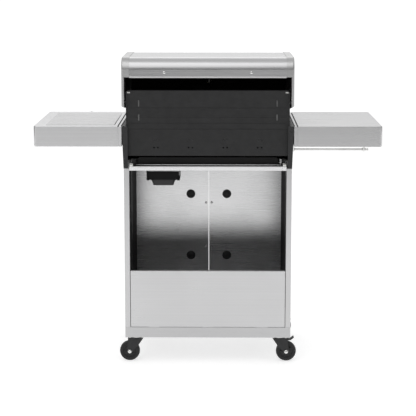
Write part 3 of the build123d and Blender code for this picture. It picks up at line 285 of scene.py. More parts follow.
def brushed_steel(name, grain, colour=STEEL, roughness=0.31, spread=0.035, scratch=9e-6):
    """Stainless sheet with a straight grain along one axis, "X", "Y" or "Z". Hair lines
    about a millimetre wide and streaks about six wide, both drawn out along the grain,
    and broad clouds from the rolling mill move the roughness and the colour."""
    material, tree, shader = node_material(name, colour, 1.0, roughness)
    along = {"X": 0, "Y": 1, "Z": 2}[grain]
    hair, streak = [900.0] * 3, [160.0] * 3
    hair[along], streak[along] = 7.0, 1.3
    lines = pattern(tree, hair, detail=3.0, roughness=0.65)
    streaks = pattern(tree, streak, detail=2.0)
    clouds = pattern(tree, 5.0, detail=2.0)
    polished(
        tree,
        shader,
        between(tree, lines, roughness - spread, roughness + spread),
        between(tree, streaks, -0.4 * spread, 0.4 * spread),
        between(tree, clouds, -0.02, 0.02),
    )
    tone = total(tree, between(tree, lines, 0.0, 0.35), between(tree, streaks, 0.0, 0.65))
    tinted(tree, shader, tone, ((0.0, shaded(colour, 0.965)), (1.0, shaded(colour, 1.03))))
    raised(tree, shader, lines, scratch)
    return material


def wear(material, *nodes):
    """Give the named CAD nodes one material."""
    for node in nodes:
        bpy.data.objects[node].data.materials.clear()
        bpy.data.objects[node].data.materials.append(material)


# painted light and shade: lighter and darker copies of one steel, the rails a lit copy, the base
# and the sides shaded copies
cart_panel_steel = brushed_steel("cart_panel_steel", "X")
cart_side_steel = brushed_steel("cart_side_steel", "Z", shaded(STEEL, 0.97))
cart_rail_lit_steel = brushed_steel("cart_rail_lit_steel", "X", shaded(STEEL, 1.28), 0.2)
cart_base_shaded_steel = brushed_steel("cart_base_shaded_steel", "X", shaded(STEEL, 0.9), 0.33)
wear(cart_panel_steel, "cart_rear_panel")
wear(cart_base_shaded_steel, "cart_base")
wear(cart_rail_lit_steel, "cart_top_rails")
wear(cart_side_steel, "cart_side_left", "cart_side_right")


def moulded(name, colour, roughness, grain=2200.0, depth=5e-5, specular=0.4):
    """Moulded or coated skin: a fine even orange peel, with faint broad scuffing that
    changes the gloss and lifts the colour a little."""
    material, tree, shader = node_material(name, colour, 0.0, roughness, specular)
    peel = pattern(tree, grain, detail=1.0)
    scuff = pattern(tree, 38.0, detail=6.0, roughness=0.65)
    polished(tree, shader, between(tree, scuff, roughness - 0.07, roughness + 0.08))
    tinted(tree, shader, scuff, ((0.35, shaded(colour, 0.85)), (0.75, shaded(colour, 1.25))))
    raised(tree, shader, peel, depth)
    return material


def repaint(node, material, chosen):
    """Give a second material to the faces of a CAD node that the rule chooses by their
    middles, an (n, 3) array."""
    mesh = bpy.data.objects[node].data
    mesh.materials.append(material)
    middles = np.zeros(len(mesh.polygons) * 3)
    mesh.polygons.foreach_get("center", middles)
    index = np.where(chosen(middles.reshape(-1, 3)), len(mesh.materials) - 1, 0)
    mesh.polygons.foreach_set("material_index", index.astype(np.int32))


# painted shade: the faces inside the side panels are dark grey, for the shade inside the cart
cart_inside_shade = moulded("cart_inside_shade", (0.065, 0.065, 0.066), 0.40, 1200.0, 4e-5, 0.6)
side_low, side_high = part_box("cart_side_right")
SKIN = 0.0008           # half the sheet, to tell its inner faces from its outer ones


def inside_cart(middles):
    """Faces of a side panel that are inside its outer skin."""
    wall = np.abs(middles[:, 0]) < side_high[0] - SKIN
    rear = middles[:, 1] < side_high[1] - SKIN
    front = middles[:, 1] > side_low[1] + SKIN
    return wall & rear & front


# painted shade on the inner faces of both side panels
for side_panel in ("cart_side_left", "cart_side_right"):
    repaint(side_panel, cart_inside_shade, inside_cart)


def plated(name, colour, roughness=0.3, spots=120.0):
    """Zinc or chrome plating: fine crystals move the roughness, faint clouds the colour."""
    material, tree, shader = node_material(name, colour, 1.0, roughness)
    crystals = pattern(tree, spots * 6, detail=2.0)
    clouds = pattern(tree, spots)
    gloss = between(tree, crystals, roughness - 0.05, roughness + 0.05)
    polished(tree, shader, gloss, between(tree, clouds, -0.04, 0.04))
    tinted(tree, shader, clouds, ((0.3, shaded(colour, 0.9)), (0.7, shaded(colour, 1.05))))
    raised(tree, shader, crystals, 1.5e-5)
    return material


screw_zinc = plated("screw_zinc", (0.66, 0.66, 0.64), 0.28)


def turned(profile, centre, axis, sides=48, around=1.0, lift=0.0):
    """Grid of a turned form: each (distance, radius) of the profile is carried round the
    axis through the centre. Around scales the radius and lift moves the point along the
    axis, each by row and angle. A radius of 0 is a pole, and the last column closes."""
    along, radius = np.array(profile, dtype=float).T
    out = np.array(axis, dtype=float) / np.linalg.norm(axis)
    guide = (1.0, 0.0, 0.0) if abs(out[0]) < 0.9 else (0.0, 0.0, 1.0)
    up = np.cross(out, guide)
    up /= np.linalg.norm(up)
    side = np.cross(up, out)
    angle = np.linspace(0.0, 2.0 * np.pi, sides + 1)
    spoke = np.cos(angle)[:, None] * side + np.sin(angle)[:, None] * up
    reach = radius[:, None] * around * np.ones(sides + 1)
    height = along[:, None] + lift * np.ones(sides + 1)
    return np.array(centre) + height[:, :, None] * out + reach[:, :, None] * spoke


def arc(centre, radius, start, end, steps=8):
    """Points of a profile on an arc, from one angle to another, in degrees."""
    angle = np.radians(np.linspace(start, end, steps))
    return [
        (centre[0] + radius * math.sin(a), centre[1] + radius * math.cos(a)) for a in angle
    ]


def dome(radius, height, foot=0.0):
    """Profile of a domed head: a short wall from the foot, then half an ellipse."""
    angle = np.linspace(0.0, np.pi / 2, 8)
    curve = [(foot + height * math.sin(a), radius * math.cos(a)) for a in angle[:-1]]
    return [(0.0, 0.0), (0.0, radius), *curve, (foot + height, 0.0)]


def cross_screw(centre, axis, radius, height):
    """Pan-head screw with a cross recess: a flat-topped dome whose crown is sunk where it
    is nearer than a tenth of the head's width to one of two lines through the axis."""
    rows = np.linspace(0.96, 0.0, 15)
    profile = [(0.0, 0.0), (0.0, radius), (height * 0.35, radius)]
    profile += [(height * (1.0 - 0.65 * r**4), radius * r) for r in rows]
    angle = np.linspace(0.0, 2.0 * np.pi, 49)
    reach = np.array([r for _, r in profile])[:, None] / radius
    near = np.minimum(abs(reach * np.cos(angle)), abs(reach * np.sin(angle)))
    sunk = (near < 0.12) & (reach < 0.55) & (np.arange(len(profile))[:, None] > 2)
    return turned(profile, centre, axis, 48, lift=-height * 0.55 * sunk)


low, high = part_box("cart_screws")
HEAD_RADIUS = 0.005
screw_heads = []
for side in (-1, 1):
    for y in (low[1] + HEAD_RADIUS, high[1] - HEAD_RADIUS):
        for z in (low[2] + HEAD_RADIUS, high[2] - HEAD_RADIUS):
            place = (side * side_high[0], y, z)
            screw_heads.append(cross_screw(place, (side, 0, 0), HEAD_RADIUS, 0.0024))
fitted("cart_screw_heads", screw_heads, screw_zinc, "cart", "cart_screws")

# ------------------------------------------------------------
# Casters. Each has a zinc-plated plate and ball race bolted under the base, a black
# pressed fork, and a moulded wheel on an axle whose two nuts wear bright domed caps.

RUBBER = (0.018, 0.018, 0.019)
WHEEL_RADIUS = 0.0375
AXLE_BORE = 0.00408
CAP_FOOT = 0.0170       # where an axle's cap begins, from the wheel's middle
CORNERS = ("rear_right", "rear_left", "front_right", "front_left")

wheel_rubber = moulded("wheel_rubber", RUBBER, 0.5, 1500.0)
fork_black = moulded("fork_black", (0.02, 0.02, 0.021), 0.38, 900.0, 3e-5)
axle_chrome = plated("axle_chrome", (0.78, 0.78, 0.77), 0.12, 60.0)
caster_zinc = plated("caster_zinc", (0.60, 0.60, 0.57), 0.34)

wear(fork_black, *[f"caster_fork_{corner}" for corner in CORNERS])
wear(fork_black, "caster_brake_rear_left", "caster_brake_front_left")
wear(caster_zinc, "caster_plates")


def caster_wheel(centre):
    """Wheel about the Y axis, mirrored about its middle: hub, dished web with five ribs,
    rim and crowned tread with three moulded grooves. The ribs lift the web's rows by a
    smooth bump of the angle."""
    half = [(0.0134, AXLE_BORE), (0.0134, 0.0095), (0.0128, 0.0106), (0.0086, 0.0116)]
    half += [(0.0078, 0.0130), (0.0074, 0.0180), (0.0078, 0.0228), (0.0086, 0.0240)]
    half += [(0.0110, 0.0250), (0.0113, 0.0258), (0.0113, 0.0290), (0.0108, 0.0297)]
    half += [(0.0113, 0.0303), (0.0120, 0.0312), (0.0120, 0.0335), (0.0114, 0.0350)]
    crown = np.linspace(0.0106, 0.0, 22)
    groove = 0.0006 * ((np.abs(crown - 0.0052) < 0.0008) | (crown < 0.0008))
    rise = WHEEL_RADIUS - 0.0017 * (crown / 0.0106) ** 2 - groove
    half += list(zip(crown.tolist(), rise.tolist()))
    profile = half + [(-y, r) for y, r in half[-2::-1]]
    profile.append(half[0])
    rows = np.array(profile)
    angle = np.linspace(0.0, 2.0 * np.pi, 97)
    rib = np.clip(np.cos(5.0 * angle) * 3.0 - 1.8, 0.0, 1.0)
    web = ((rows[:, 1] > 0.0125) & (rows[:, 1] < 0.0235) & (abs(rows[:, 0]) < 0.0082))[:, None]
    lift = np.sign(rows[:, :1]) * 0.0026 * web * rib
    return turned(profile, centre, (0, 1, 0), 96, lift=lift)


for corner in CORNERS:
    low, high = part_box(f"caster_wheel_{corner}")
    centre = (np.array(low) + np.array(high)) / 2
    fitted(
        f"caster_tyre_{corner}",
        [caster_wheel(centre)],
        wheel_rubber,
        f"wheel_{corner}",
        f"caster_wheel_{corner}",
    )
    cap = [(CAP_FOOT, 0.0), (CAP_FOOT, 0.0078), (CAP_FOOT + 0.0010, 0.0080)]
    cap += [(CAP_FOOT + 0.0016, 0.0075)]
    bend = np.linspace(0.0, np.pi / 2, 9)
    cap += [(CAP_FOOT + 0.0022 + 0.0044 * math.sin(a), 0.0074 * math.cos(a)) for a in bend]
    caps = [turned(cap, centre, (0, way, 0), 40) for way in (-1, 1)]
    fitted(f"axle_caps_{corner}", caps, axle_chrome, f"fork_{corner}")

# four hexagon bolts hold each plate, and a bright race ring shows above the fork
BOLT_SIDES = 48
hexagon_angle = np.linspace(0.0, 2.0 * np.pi, BOLT_SIDES + 1)
HEXAGON = math.cos(math.pi / 6) / np.cos((hexagon_angle % (math.pi / 3)) - math.pi / 6)
plate_low, plate_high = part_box("caster_plates")
PLATE_HALF = 0.030
PLATE_THICK = 0.003
BOLT_OFF = 0.0235
bolts, races = [], []
for corner in CORNERS:
    swivel_x = (plate_high[0] - PLATE_HALF) * (1 if corner.endswith("right") else -1)
    rear_y, front_y = plate_high[1] - PLATE_HALF, plate_low[1] + PLATE_HALF
    swivel_y = rear_y if corner.startswith("rear") else front_y
    plate_under = plate_high[2] - PLATE_THICK
    for dx in (-BOLT_OFF, BOLT_OFF):
        for dy in (-BOLT_OFF, BOLT_OFF):
            head = [(0.0, 0.0), (0.0, 0.0052), (0.0028, 0.0052), (0.0034, 0.0046), (0.0034, 0.0)]
            place = (swivel_x + dx, swivel_y + dy, plate_under)
            bolts.append(turned(head, place, (0, 0, -1), BOLT_SIDES, around=HEXAGON))
    rim = [(0.0, 0.0225)] + arc((0.0026, 0.0225), 0.0022, -90, 90, 9) + [(0.0052, 0.0225)]
    rim += [(0.0052, 0.0215), (0.0, 0.0215), (0.0, 0.0225)]
    races.append(turned(rim, (swivel_x, swivel_y, plate_under - 0.0055), (0, 0, 1), 64))
fitted("caster_bolts", bolts, screw_zinc, "cart")
fitted("caster_races", races, axle_chrome, "cart")

# ------------------------------------------------------------
# Doors. Each is an outer pan and a flat liner in rubbed stainless, riveted together, on
# two pins. Black snap-in plugs cover the screws of the tubular handle.

# painted light: the liner and the handle steels are lit, lighter copies of the one steel
door_face_steel = brushed_steel("door_face_steel", "Z", shaded(STEEL, 1.02), 0.29)
door_liner_lit_steel = brushed_steel("door_liner_lit_steel", "X", shaded(STEEL, 1.18), 0.27, 0.02, 4e-6)
handle_lit_steel = brushed_steel("handle_lit_steel", "Z", shaded(STEEL, 1.1), 0.22)
fitting_zinc = plated("fitting_zinc", (0.58, 0.58, 0.55), 0.36)
plug_plastic = moulded("plug_plastic", (0.016, 0.016, 0.017), 0.42, 1800.0)

wear(door_face_steel, "door_left", "door_right")
wear(door_liner_lit_steel, "door_left_liner", "door_right_liner")
wear(handle_lit_steel, "door_left_handle", "door_right_handle")
wear(fitting_zinc, "door_fittings")

PLUG_RADIUS = 0.0174
SCREW_OFF = 0.1235      # handle screws above and below the handle's middle
RIVET_OFF = 0.0885
LINER_SKIN = 0.002      # how far the plugs of the liner node stand out past its skin
for door, side in (("door_left", -1), ("door_right", 1)):
    body = f"{door}_body"
    _, liner_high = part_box(f"{door}_liner")
    grip_low, grip_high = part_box(f"{door}_handle")
    liner_back = liner_high[1] - LINER_SKIN
    plug_x = (grip_low[0] + grip_high[0]) / 2
    middle_z = (grip_low[2] + grip_high[2]) / 2
    plugs, studs = [], []
    for way in (-1, 1):
        plug = [(0.0, 0.0), (0.0, PLUG_RADIUS), (0.0010, PLUG_RADIUS), (0.0019, 0.0166)]
        plug += [(0.0024, 0.0150), (0.0022, 0.0136), (0.0012, 0.0128), (0.0010, 0.0118)]
        plug += [(0.0020, 0.0108), (0.0029, 0.0080), (0.0032, 0.0040), (0.0033, 0.0)]
        at = (plug_x, liner_back, middle_z + way * SCREW_OFF)
        plugs.append(turned(plug, at, (0, 1, 0), 56))
        rivet_at = (side * 0.011, liner_back, middle_z + way * RIVET_OFF)
        studs.append(turned(dome(0.0044, 0.0019, 0.0004), rivet_at, (0, 1, 0), 28))
        # collar where each handle post meets the door's face
        collar = [(0.0, 0.0055), (0.0, 0.0112), (0.0016, 0.0112), (0.0034, 0.0098)]
        collar += [(0.0044, 0.0072), (0.0046, 0.0055), (0.0, 0.0055)]
        door_low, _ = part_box(door)
        foot = (plug_x, door_low[1], middle_z + way * SCREW_OFF)
        studs.append(turned(collar, foot, (0, -1, 0), 48))
        end = (plug_x, grip_low[1] + 0.008, middle_z + way * 0.1545)
        studs.append(turned(dome(0.0082, 0.0028), end, (0, 0, way), 40))
    fitted(f"{door}_plugs", plugs, plug_plastic, body)
    fitted(f"{door}_studs", studs, handle_lit_steel, body)

    # the moulded plugs of the liner node itself are black too
    def plug_faces(middles):
        """Faces of the liner node within the plugs' radius, from the liner's skin out."""
        off = np.abs(np.abs(middles[:, 2] - middle_z) - SCREW_OFF)
        inside = np.hypot(middles[:, 0] - plug_x, off) < PLUG_RADIUS
        return inside & (middles[:, 1] > liner_back - 0.0052)

    repaint(f"{door}_liner", plug_plastic, plug_faces)

# ------------------------------------------------------------
# Firebox. Back, front and end walls are pressed steel in matt black enamel; the side
# brackets are sheet with a dark grey powder coat, and both are bolted to the cart.

ENAMEL = (0.0215, 0.0215, 0.022)
BRACKET_GREY = (0.024, 0.024, 0.025)

firebox_enamel = moulded("firebox_enamel", ENAMEL, 0.52, 700.0, 4e-5, 0.3)
bracket_coat = moulded("bracket_coat", BRACKET_GREY, 0.46, 1300.0, 6e-5, 0.35)
wear(firebox_enamel, "firebox_back_panel", "firebox_front_panel")
wear(firebox_enamel, "firebox_end_left", "firebox_end_right")
wear(bracket_coat, "side_bracket_left", "side_bracket_right")

# small black screws in the brackets and at the tails of the burners
_, back_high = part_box("firebox_back_panel")
bracket_low, bracket_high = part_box("side_bracket_right")
rail_low, rail_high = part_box("cart_top_rails")
TUBE_PLACES = (-0.188, -0.063, 0.063, 0.188)
TUBE_Z = 0.825          # axis of the burner tubes
bracket_screw_x = bracket_high[0] - 0.0095
panel_screws = []
for side in (-1, 1):
    for z in (bracket_low[2] + 0.018, bracket_high[2] - 0.022):
        place = (side * bracket_screw_x, bracket_high[1], z)
        panel_screws.append(cross_screw(place, (0, 1, 0), 0.0036, 0.0016))
for tube_x in TUBE_PLACES:
    for dx in (-0.007, 0.007):
        place = (tube_x + dx, back_high[1] - 0.0002, TUBE_Z + 0.008)
        panel_screws.append(cross_screw(place, (0, 1, 0), 0.0033, 0.0016))
fitted("firebox_screws", panel_screws, fork_black, "cart")


def corner_turns(steps):
    """Angles once round a rounded rectangle, with the side in X and in Y (1 or -1) of the
    corner that each belongs to. The first angle comes again at the end."""
    quarter = np.linspace(0.0, np.pi / 2, steps)
    turn = np.concatenate([quarter + k * np.pi / 2 for k in range(4)])
    side_x = np.repeat([1.0, -1.0, -1.0, 1.0], steps)
    side_y = np.repeat([1.0, 1.0, -1.0, -1.0], steps)
    return [np.append(row, row[0]) for row in (turn, side_x, side_y)]


def rounded_block(low, high, edge, steps=5):
    """Closed box with rounded edges: the quarters of a sphere of the edge's radius, moved
    apart to the box's corners, with a point closing its top and its foot."""
    low, high = np.array(low, dtype=float), np.array(high, dtype=float)
    centre, half = (low + high) / 2, (high - low) / 2 - edge
    turn, turn_x, turn_y = corner_turns(steps)
    quarter = np.linspace(0.0, np.pi / 2, steps)
    tilt = np.concatenate([quarter - np.pi / 2, quarter])
    tilt_z = np.repeat([-1.0, 1.0], steps)
    x = centre[0] + turn_x * half[0] + edge * np.outer(np.cos(tilt), np.cos(turn))
    y = centre[1] + turn_y * half[1] + edge * np.outer(np.cos(tilt), np.sin(turn))
    z = centre[2] + (tilt_z * half[2] + edge * np.sin(tilt))[:, None] * np.ones(len(turn))
    sheet = np.stack([x, y, z], axis=-1)
    foot = np.broadcast_to([centre[0], centre[1], low[2]], sheet[:1].shape)
    top = np.broadcast_to([centre[0], centre[1], high[2]], sheet[:1].shape)
    return np.concatenate([foot, sheet, top])


# spot-welded tabs of bright steel: on the rail's ends, and on the back panel's corners;
# each is given by its two distances from the middle, rear and front, foot and top
tabs = []
for side in (-1, 1):
    for near, far, rear, front, foot, top in (
        (0.272, 0.284, 0.266, 0.2545, rail_high[2], rail_high[2] + 0.011),
        (0.2800, 0.2945, back_high[1] + 0.0012, back_high[1] - 0.0015, 1.0030, 1.0074),
    ):
        ends = sorted((side * near, side * far))
        tabs.append(rounded_block((ends[0], front, foot), (ends[1], rear, top), 0.0008, 3))
fitted("corner_tabs", tabs, screw_zinc, "cart")

# grey strips behind the back panel's slots, which the warming rack's hooks catch in
SLOT_X = 0.250
STRIP_HALF = 0.0045
PANEL_INNER = back_high[1] - 0.0022
hanger_grey = moulded("hanger_grey", (0.13, 0.13, 0.13), 0.5, 1500.0, 2e-5)
hangers = []
for slot_x in (-SLOT_X, SLOT_X):
    low = (slot_x - STRIP_HALF, PANEL_INNER - 0.0026, 0.899)
    high = (slot_x + STRIP_HALF, PANEL_INNER, 0.981)
    hangers.append(rounded_block(low, high, 0.0008, 3))
fitted("rack_hangers", hangers, hanger_grey, "cart")

# ------------------------------------------------------------
# Burners. Four stainless tubes with a row of ports on each side, hat-shaped tamers of
# thin stainless over them; both are straw and blue from the heat.


def heated_steel(name, colour, tint_size=14.0):
    """Stainless that has been hot: broad noise runs the colour from bare steel through
    straw and brown to blue, and the soot in the hollows makes it dull."""
    material, tree, shader = node_material(name, colour, 1.0, 0.42)
    broad = pattern(tree, (tint_size, tint_size * 0.5, tint_size), detail=4.0, roughness=0.6)
    fine = pattern(tree, (420.0, 40.0, 420.0))
    stops = (
        (0.30, shaded(colour, 0.85)),
        (0.45, (0.50, 0.42, 0.28)),
        (0.55, (0.36, 0.25, 0.16)),
        (0.66, (0.20, 0.19, 0.24)),
    )
    tinted(tree, shader, broad, stops)
    polished(tree, shader, between(tree, broad, 0.3, 0.6), between(tree, fine, -0.06, 0.06))
    raised(tree, shader, fine, 4e-5)
    return material


burner_steel = heated_steel("burner_steel", (0.46, 0.45, 0.43))
tamer_steel = heated_steel("tamer_steel", (0.50, 0.48, 0.45), 22.0)
wear(burner_steel, "burner_tubes")
wear(tamer_steel, "flame_tamers")

# raised rims of the flame ports, 26 along each side of each tube
tube_low, tube_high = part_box("burner_tubes")
PORTS = 26
PORT_LEAN = math.radians(20.0)
TUBE_SKIN = 0.01235     # radius on which the rims sit
port_rows = []
for tube_x in TUBE_PLACES:
    for side in (-1, 1):
        out = np.array((side * math.cos(PORT_LEAN), 0.0, math.sin(PORT_LEAN)))
        for port_y in np.linspace(tube_low[1] + 0.05, tube_high[1] - 0.045, PORTS):
            at = np.array((tube_x, port_y, TUBE_Z)) + out * TUBE_SKIN
            rim = [(-0.0006, 0.0), (-0.0006, 0.0021), (0.0, 0.0021), (0.0006, 0.0017)]
            rim += [(0.0006, 0.0011), (-0.0005, 0.0009), (-0.0005, 0.0)]
            port_rows.append(turned(rim, at, out, 10))
port_soot = moulded("port_soot", (0.03, 0.026, 0.022), 0.7, 1500.0)
fitted("burner_ports", port_rows, port_soot, "cart")

# ------------------------------------------------------------
# Grate, griddle and warming rack. Cast iron with a sand-cast skin, oiled and baked dark;
# the rack is bright wire, welded.


def cast_iron(name, colour, roughness=0.62):
    """Sand casting, seasoned: pits and grains of the mould in the relief, and an oily
    film in patches that shines where it lies."""
    material, tree, shader = node_material(name, colour, 0.25, roughness, 0.45)
    sand = pattern(tree, 1100.0, detail=4.0, roughness=0.7)
    film = pattern(tree, 26.0, detail=5.0, roughness=0.6)
    polished(tree, shader, between(tree, film, roughness - 0.2, roughness + 0.12))
    tinted(tree, shader, film, ((0.3, shaded(colour, 0.7)), (0.7, (0.030, 0.026, 0.023))))
    raised(tree, shader, sand, 2.2e-4)
    return material


grate_iron = cast_iron("grate_iron", (0.022, 0.021, 0.020))
griddle_iron = cast_iron("griddle_iron", (0.018, 0.017, 0.016), 0.5)
rack_wire = plated("rack_wire", (0.74, 0.74, 0.72), 0.16, 60.0)
wear(grate_iron, "cooking_grate", "side_burner_grate")
wear(griddle_iron, "griddle")
wear(rack_wire, "warming_rack")

# ------------------------------------------------------------
# Drip tray and grease cup. The tray is black enamelled sheet that slides out to the back,
# and the cup is enamelled steel that hangs in rails under the rear cross rail.

tray_sheet = moulded("tray_sheet", (0.010, 0.010, 0.010), 0.5, 600.0, 4e-5, 0.25)
cup_enamel = moulded("cup_enamel", (0.012, 0.012, 0.0125), 0.36, 500.0, 2e-5, 0.4)
# painted shade: near-black for the cup's bracket and, below, the cup's flange and pull plate, for
# the shade under the rear rail
bracket_shade_black = moulded("bracket_shade_black", (0.005, 0.005, 0.005), 0.55, 900.0, 3e-5, 0.12)
wear(tray_sheet, "drip_tray")
wear(cup_enamel, "grease_cup")
wear(bracket_shade_black, "cup_bracket")
cup_low, cup_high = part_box("grease_cup")
CUP_BODY_TOP = cup_low[2] + 0.0195
CUP_FLANGE = cup_low[2] + 0.0215


def above_cup(middles):
    """Faces of the cup's flange and of the plate it is pulled out by."""
    return middles[:, 2] > CUP_FLANGE


# painted shade: the cup's flange and pull plate are made near-black
repaint("grease_cup", bracket_shade_black, above_cup)


def rolled_rim(low, high, corner, radius, z):
    """Closed bead round a rounded rectangle: a small circle carried along the outline,
    which is four corner arcs joined by straight runs."""
    turn, side_x, side_y = corner_turns(7)
    centre, half = (np.array(low) + high) / 2, (np.array(high) - low) / 2 - corner
    bend = np.linspace(0.0, 2.0 * np.pi, 13)
    reach = corner + radius * np.cos(bend)
    x = centre[0] + (side_x * half[0])[:, None] + np.cos(turn)[:, None] * reach
    y = centre[1] + (side_y * half[1])[:, None] + np.sin(turn)[:, None] * reach
    return np.stack([x, y, np.broadcast_to(z + radius * np.sin(bend), x.shape)], axis=-1)


# two beads round the cup, each given by how far inside the cup's box it runs
cup_rims = []
for inset_x, inset_y, corner, radius, z in (
    (0.0130, 0.0040, 0.010, 0.0011, CUP_BODY_TOP),
    (0.0215, 0.0125, 0.009, 0.0012, cup_low[2] + 0.0012),
):
    low = (cup_low[0] + inset_x, cup_low[1] + inset_y)
    high = (cup_high[0] - inset_x, cup_high[1] - inset_y)
    cup_rims.append(rolled_rim(low, high, corner, radius, z))
fitted("grease_cup_beads", cup_rims, cup_enamel, "cup")

# hemmed lower edge of the tray's rear wall, which runs just above the rail
tray_low, tray_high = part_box("drip_tray")
hem_low = (tray_low[0] + 0.020, tray_high[1] - 0.0022, rail_high[2] + 0.0012)
hem_high = (tray_high[0] - 0.020, tray_high[1] + 0.0006, rail_high[2] + 0.0062)
hem = rounded_block(hem_low, hem_high, 0.0012)
fitted("drip_tray_hem", [hem], tray_sheet, "tray")

# black glide strip on top of the rail, which the tray runs over when it is pulled out
glide_low = (rail_low[0] + 0.016, 0.2385, rail_high[2])
glide_high = (rail_high[0] - 0.016, rail_high[1] - 0.0018, rail_high[2] + 0.0006)
glide = rounded_block(glide_low, glide_high, 0.0003)
fitted("tray_glide", [glide], tray_sheet, "cart")

# ------------------------------------------------------------
# Gas manifold and valves: a steel pipe with die-cast valves and jets, all in one plated metal,
# and a brass inlet fitting. The tray of the control panel in front of them is folded stainless.

valve_metal = plated("valve_metal", (0.50, 0.49, 0.46), 0.4, 160.0)
control_panel_steel = brushed_steel("control_panel_steel", "X", shaded(STEEL, 1.02), 0.27)
brass = plated("brass", (0.70, 0.52, 0.25), 0.25, 80.0)
wear(valve_metal, "gas_manifold")
wear(control_panel_steel, "control_panel")

manifold_low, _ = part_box("gas_manifold")
PIPE_FOOT = 0.7765
INLET_END = manifold_low[0] + 0.026


def inlet_faces(middles):
    """Faces of the manifold node below its pipe, at the end with the inlet fitting."""
    return (middles[:, 2] < PIPE_FOOT) & (middles[:, 0] < INLET_END)


repaint("gas_manifold", brass, inlet_faces)

# ------------------------------------------------------------
# Controls. Five die-cast knobs with chromed skirts and twelve flutes, each over a pressed
# bezel, with its heat scale printed round it; the igniter is a plastic push button.

knob_chrome = plated("knob_chrome", (0.72, 0.72, 0.71), 0.17, 60.0)
knob_body_metal = plated("knob_body_metal", (0.30, 0.30, 0.305), 0.3, 90.0)
bezel_chrome = plated("bezel_chrome", (0.70, 0.70, 0.69), 0.14, 60.0)
scale_ink = moulded("scale_ink", (0.015, 0.015, 0.016), 0.45, 1800.0, 1e-5)
button_plastic = moulded("button_plastic", (0.018, 0.018, 0.019), 0.35, 1600.0)
pointer_white = moulded("pointer_white", (0.75, 0.75, 0.73), 0.4, 1200.0, 1e-5)
wear(bezel_chrome, "knob_bezels")
wear(button_plastic, "igniter_button")

FLUTES = 12
KNOB_LIFT = 0.003       # gap between a knob and the panel
SKIRT = 0.0258
GRIP = 0.0196
KNOB_SIDES = 144
INK_THICK = 0.0002


def knob_skirt():
    """Profile of the chromed skirt: a turned-over edge, a cone and a shoulder bead."""
    profile = [(0.0, 0.0033), (0.0, 0.0248), (0.0006, 0.0256), (0.0018, SKIRT), (0.0032, 0.0255)]
    profile += [(0.0044, 0.0246), (0.0062, 0.0232), (0.0074, 0.0218), (0.0080, 0.0206)]
    profile += [(0.0086, 0.0200), (0.0090, 0.0190), (0.0090, 0.0033), (0.0, 0.0033)]
    return profile


def knob_grip():
    """Rows of (distance, radius, flute depth): the flutes run out before both ends."""
    wall = np.linspace(0.0, 1.0, 12)
    rows = [(0.0090, 0.0033, 0.0), (0.0090, GRIP, 0.0)]
    for t in wall[1:-1]:
        flute = 0.0022 * math.sin(math.pi * min(1.0, t * 1.02)) ** 0.5
        rows.append((0.0090 + 0.0150 * t, GRIP - 0.0011 * t, flute))
    edge = np.radians(np.linspace(0.0, 90.0, 7))
    rows += [(0.0243 + 0.0020 * math.sin(a), 0.0164 + 0.0020 * math.cos(a), 0.0) for a in edge]
    rows += [(0.0259, 0.0150, 0.0), (0.0257, 0.0140, 0.0), (0.0257, 0.0, 0.0)]
    return np.array(rows)


def control_knob(name, at, out, body, replaced):
    """Knob on its stem: skirt, fluted grip, crown disc and a pointer bar."""
    at, out = np.array(at), np.array(out) / np.linalg.norm(out)
    base = at + out * KNOB_LIFT
    angle = np.linspace(0.0, 2.0 * np.pi, KNOB_SIDES + 1)
    rows = knob_grip()
    wave = np.clip(np.cos(FLUTES * angle) * 1.4 - 0.1, 0.0, 1.0)
    around = 1.0 - rows[:, 2:] * wave / np.maximum(rows[:, 1:2], 0.003)
    grip = turned(rows[:, :2], base, out, KNOB_SIDES, around=around)
    skirt = turned(knob_skirt(), base, out, 72)
    fitted(f"{name}_skirt", [skirt], knob_chrome, body)
    fitted(f"{name}_grip", [grip], knob_body_metal, body, replaced)
    crown = [(0.0255, 0.0), (0.0255, 0.0136), (0.0262, 0.0136), (0.0266, 0.0128)]
    crown += [(0.0268, 0.0100), (0.0269, 0.0)]
    fitted(f"{name}_crown", [turned(crown, base, out, 72)], knob_chrome, body)
    up = np.array((0.0, 0.0, 1.0)) - out * out[2]
    up /= np.linalg.norm(up)
    bar = rounded_block((-0.0009, 0.0030, 0.0262), (0.0009, 0.0145, 0.0273), 0.0003, 3)
    side = np.cross(up, out)
    placed = base + bar @ np.stack([side, up, out])
    fitted(f"{name}_pointer", [placed], pointer_white, body)


def on_disc(at, out, clock, radius, height):
    """Points of a round face that looks along out: the clock angle is in degrees
    clockwise from its top, and the height is measured along out."""
    up = np.array((0.0, 0.0, 1.0)) - out * out[2]
    up /= np.linalg.norm(up)
    turn = np.radians(clock)
    spot = np.outer(radius * np.sin(turn), np.cross(up, out)) + np.outer(radius * np.cos(turn), up)
    return at + spot + out * height


def printed_band(at, out, clock, near, far, foot, top):
    """Closed band of print over the given clock angles, between two radii. A radius may
    be a number, or one for each angle."""
    corners = ((near, foot), (far, foot), (far, top), (near, top), (near, foot))
    band = np.stack([on_disc(at, out, clock, radius, height) for radius, height in corners])
    ends = [np.stack([band[0:2, column], band[3:1:-1, column]]) for column in (0, -1)]
    return [band, *ends]


def heat_scale(at, out):
    """Printed scale round a bezel: a wedge that widens clockwise from low to high, and
    short bars at off and at low."""
    at, out = np.array(at), np.array(out, dtype=float)
    wedge = np.linspace(60.0, 230.0, 60)
    widening = 0.0368 + 0.0034 * np.linspace(0.0, 1.0, 60)
    sheets = printed_band(at, out, wedge, 0.0362, widening, 0.0, INK_THICK)
    for start, end, near, far in ((-1.6, 1.6, 0.0352, 0.0402), (118.5, 121.5, 0.0412, 0.0430)):
        sheets += printed_band(at, out, np.linspace(start, end, 4), near, far, 0.0, INK_THICK)
    return sheets


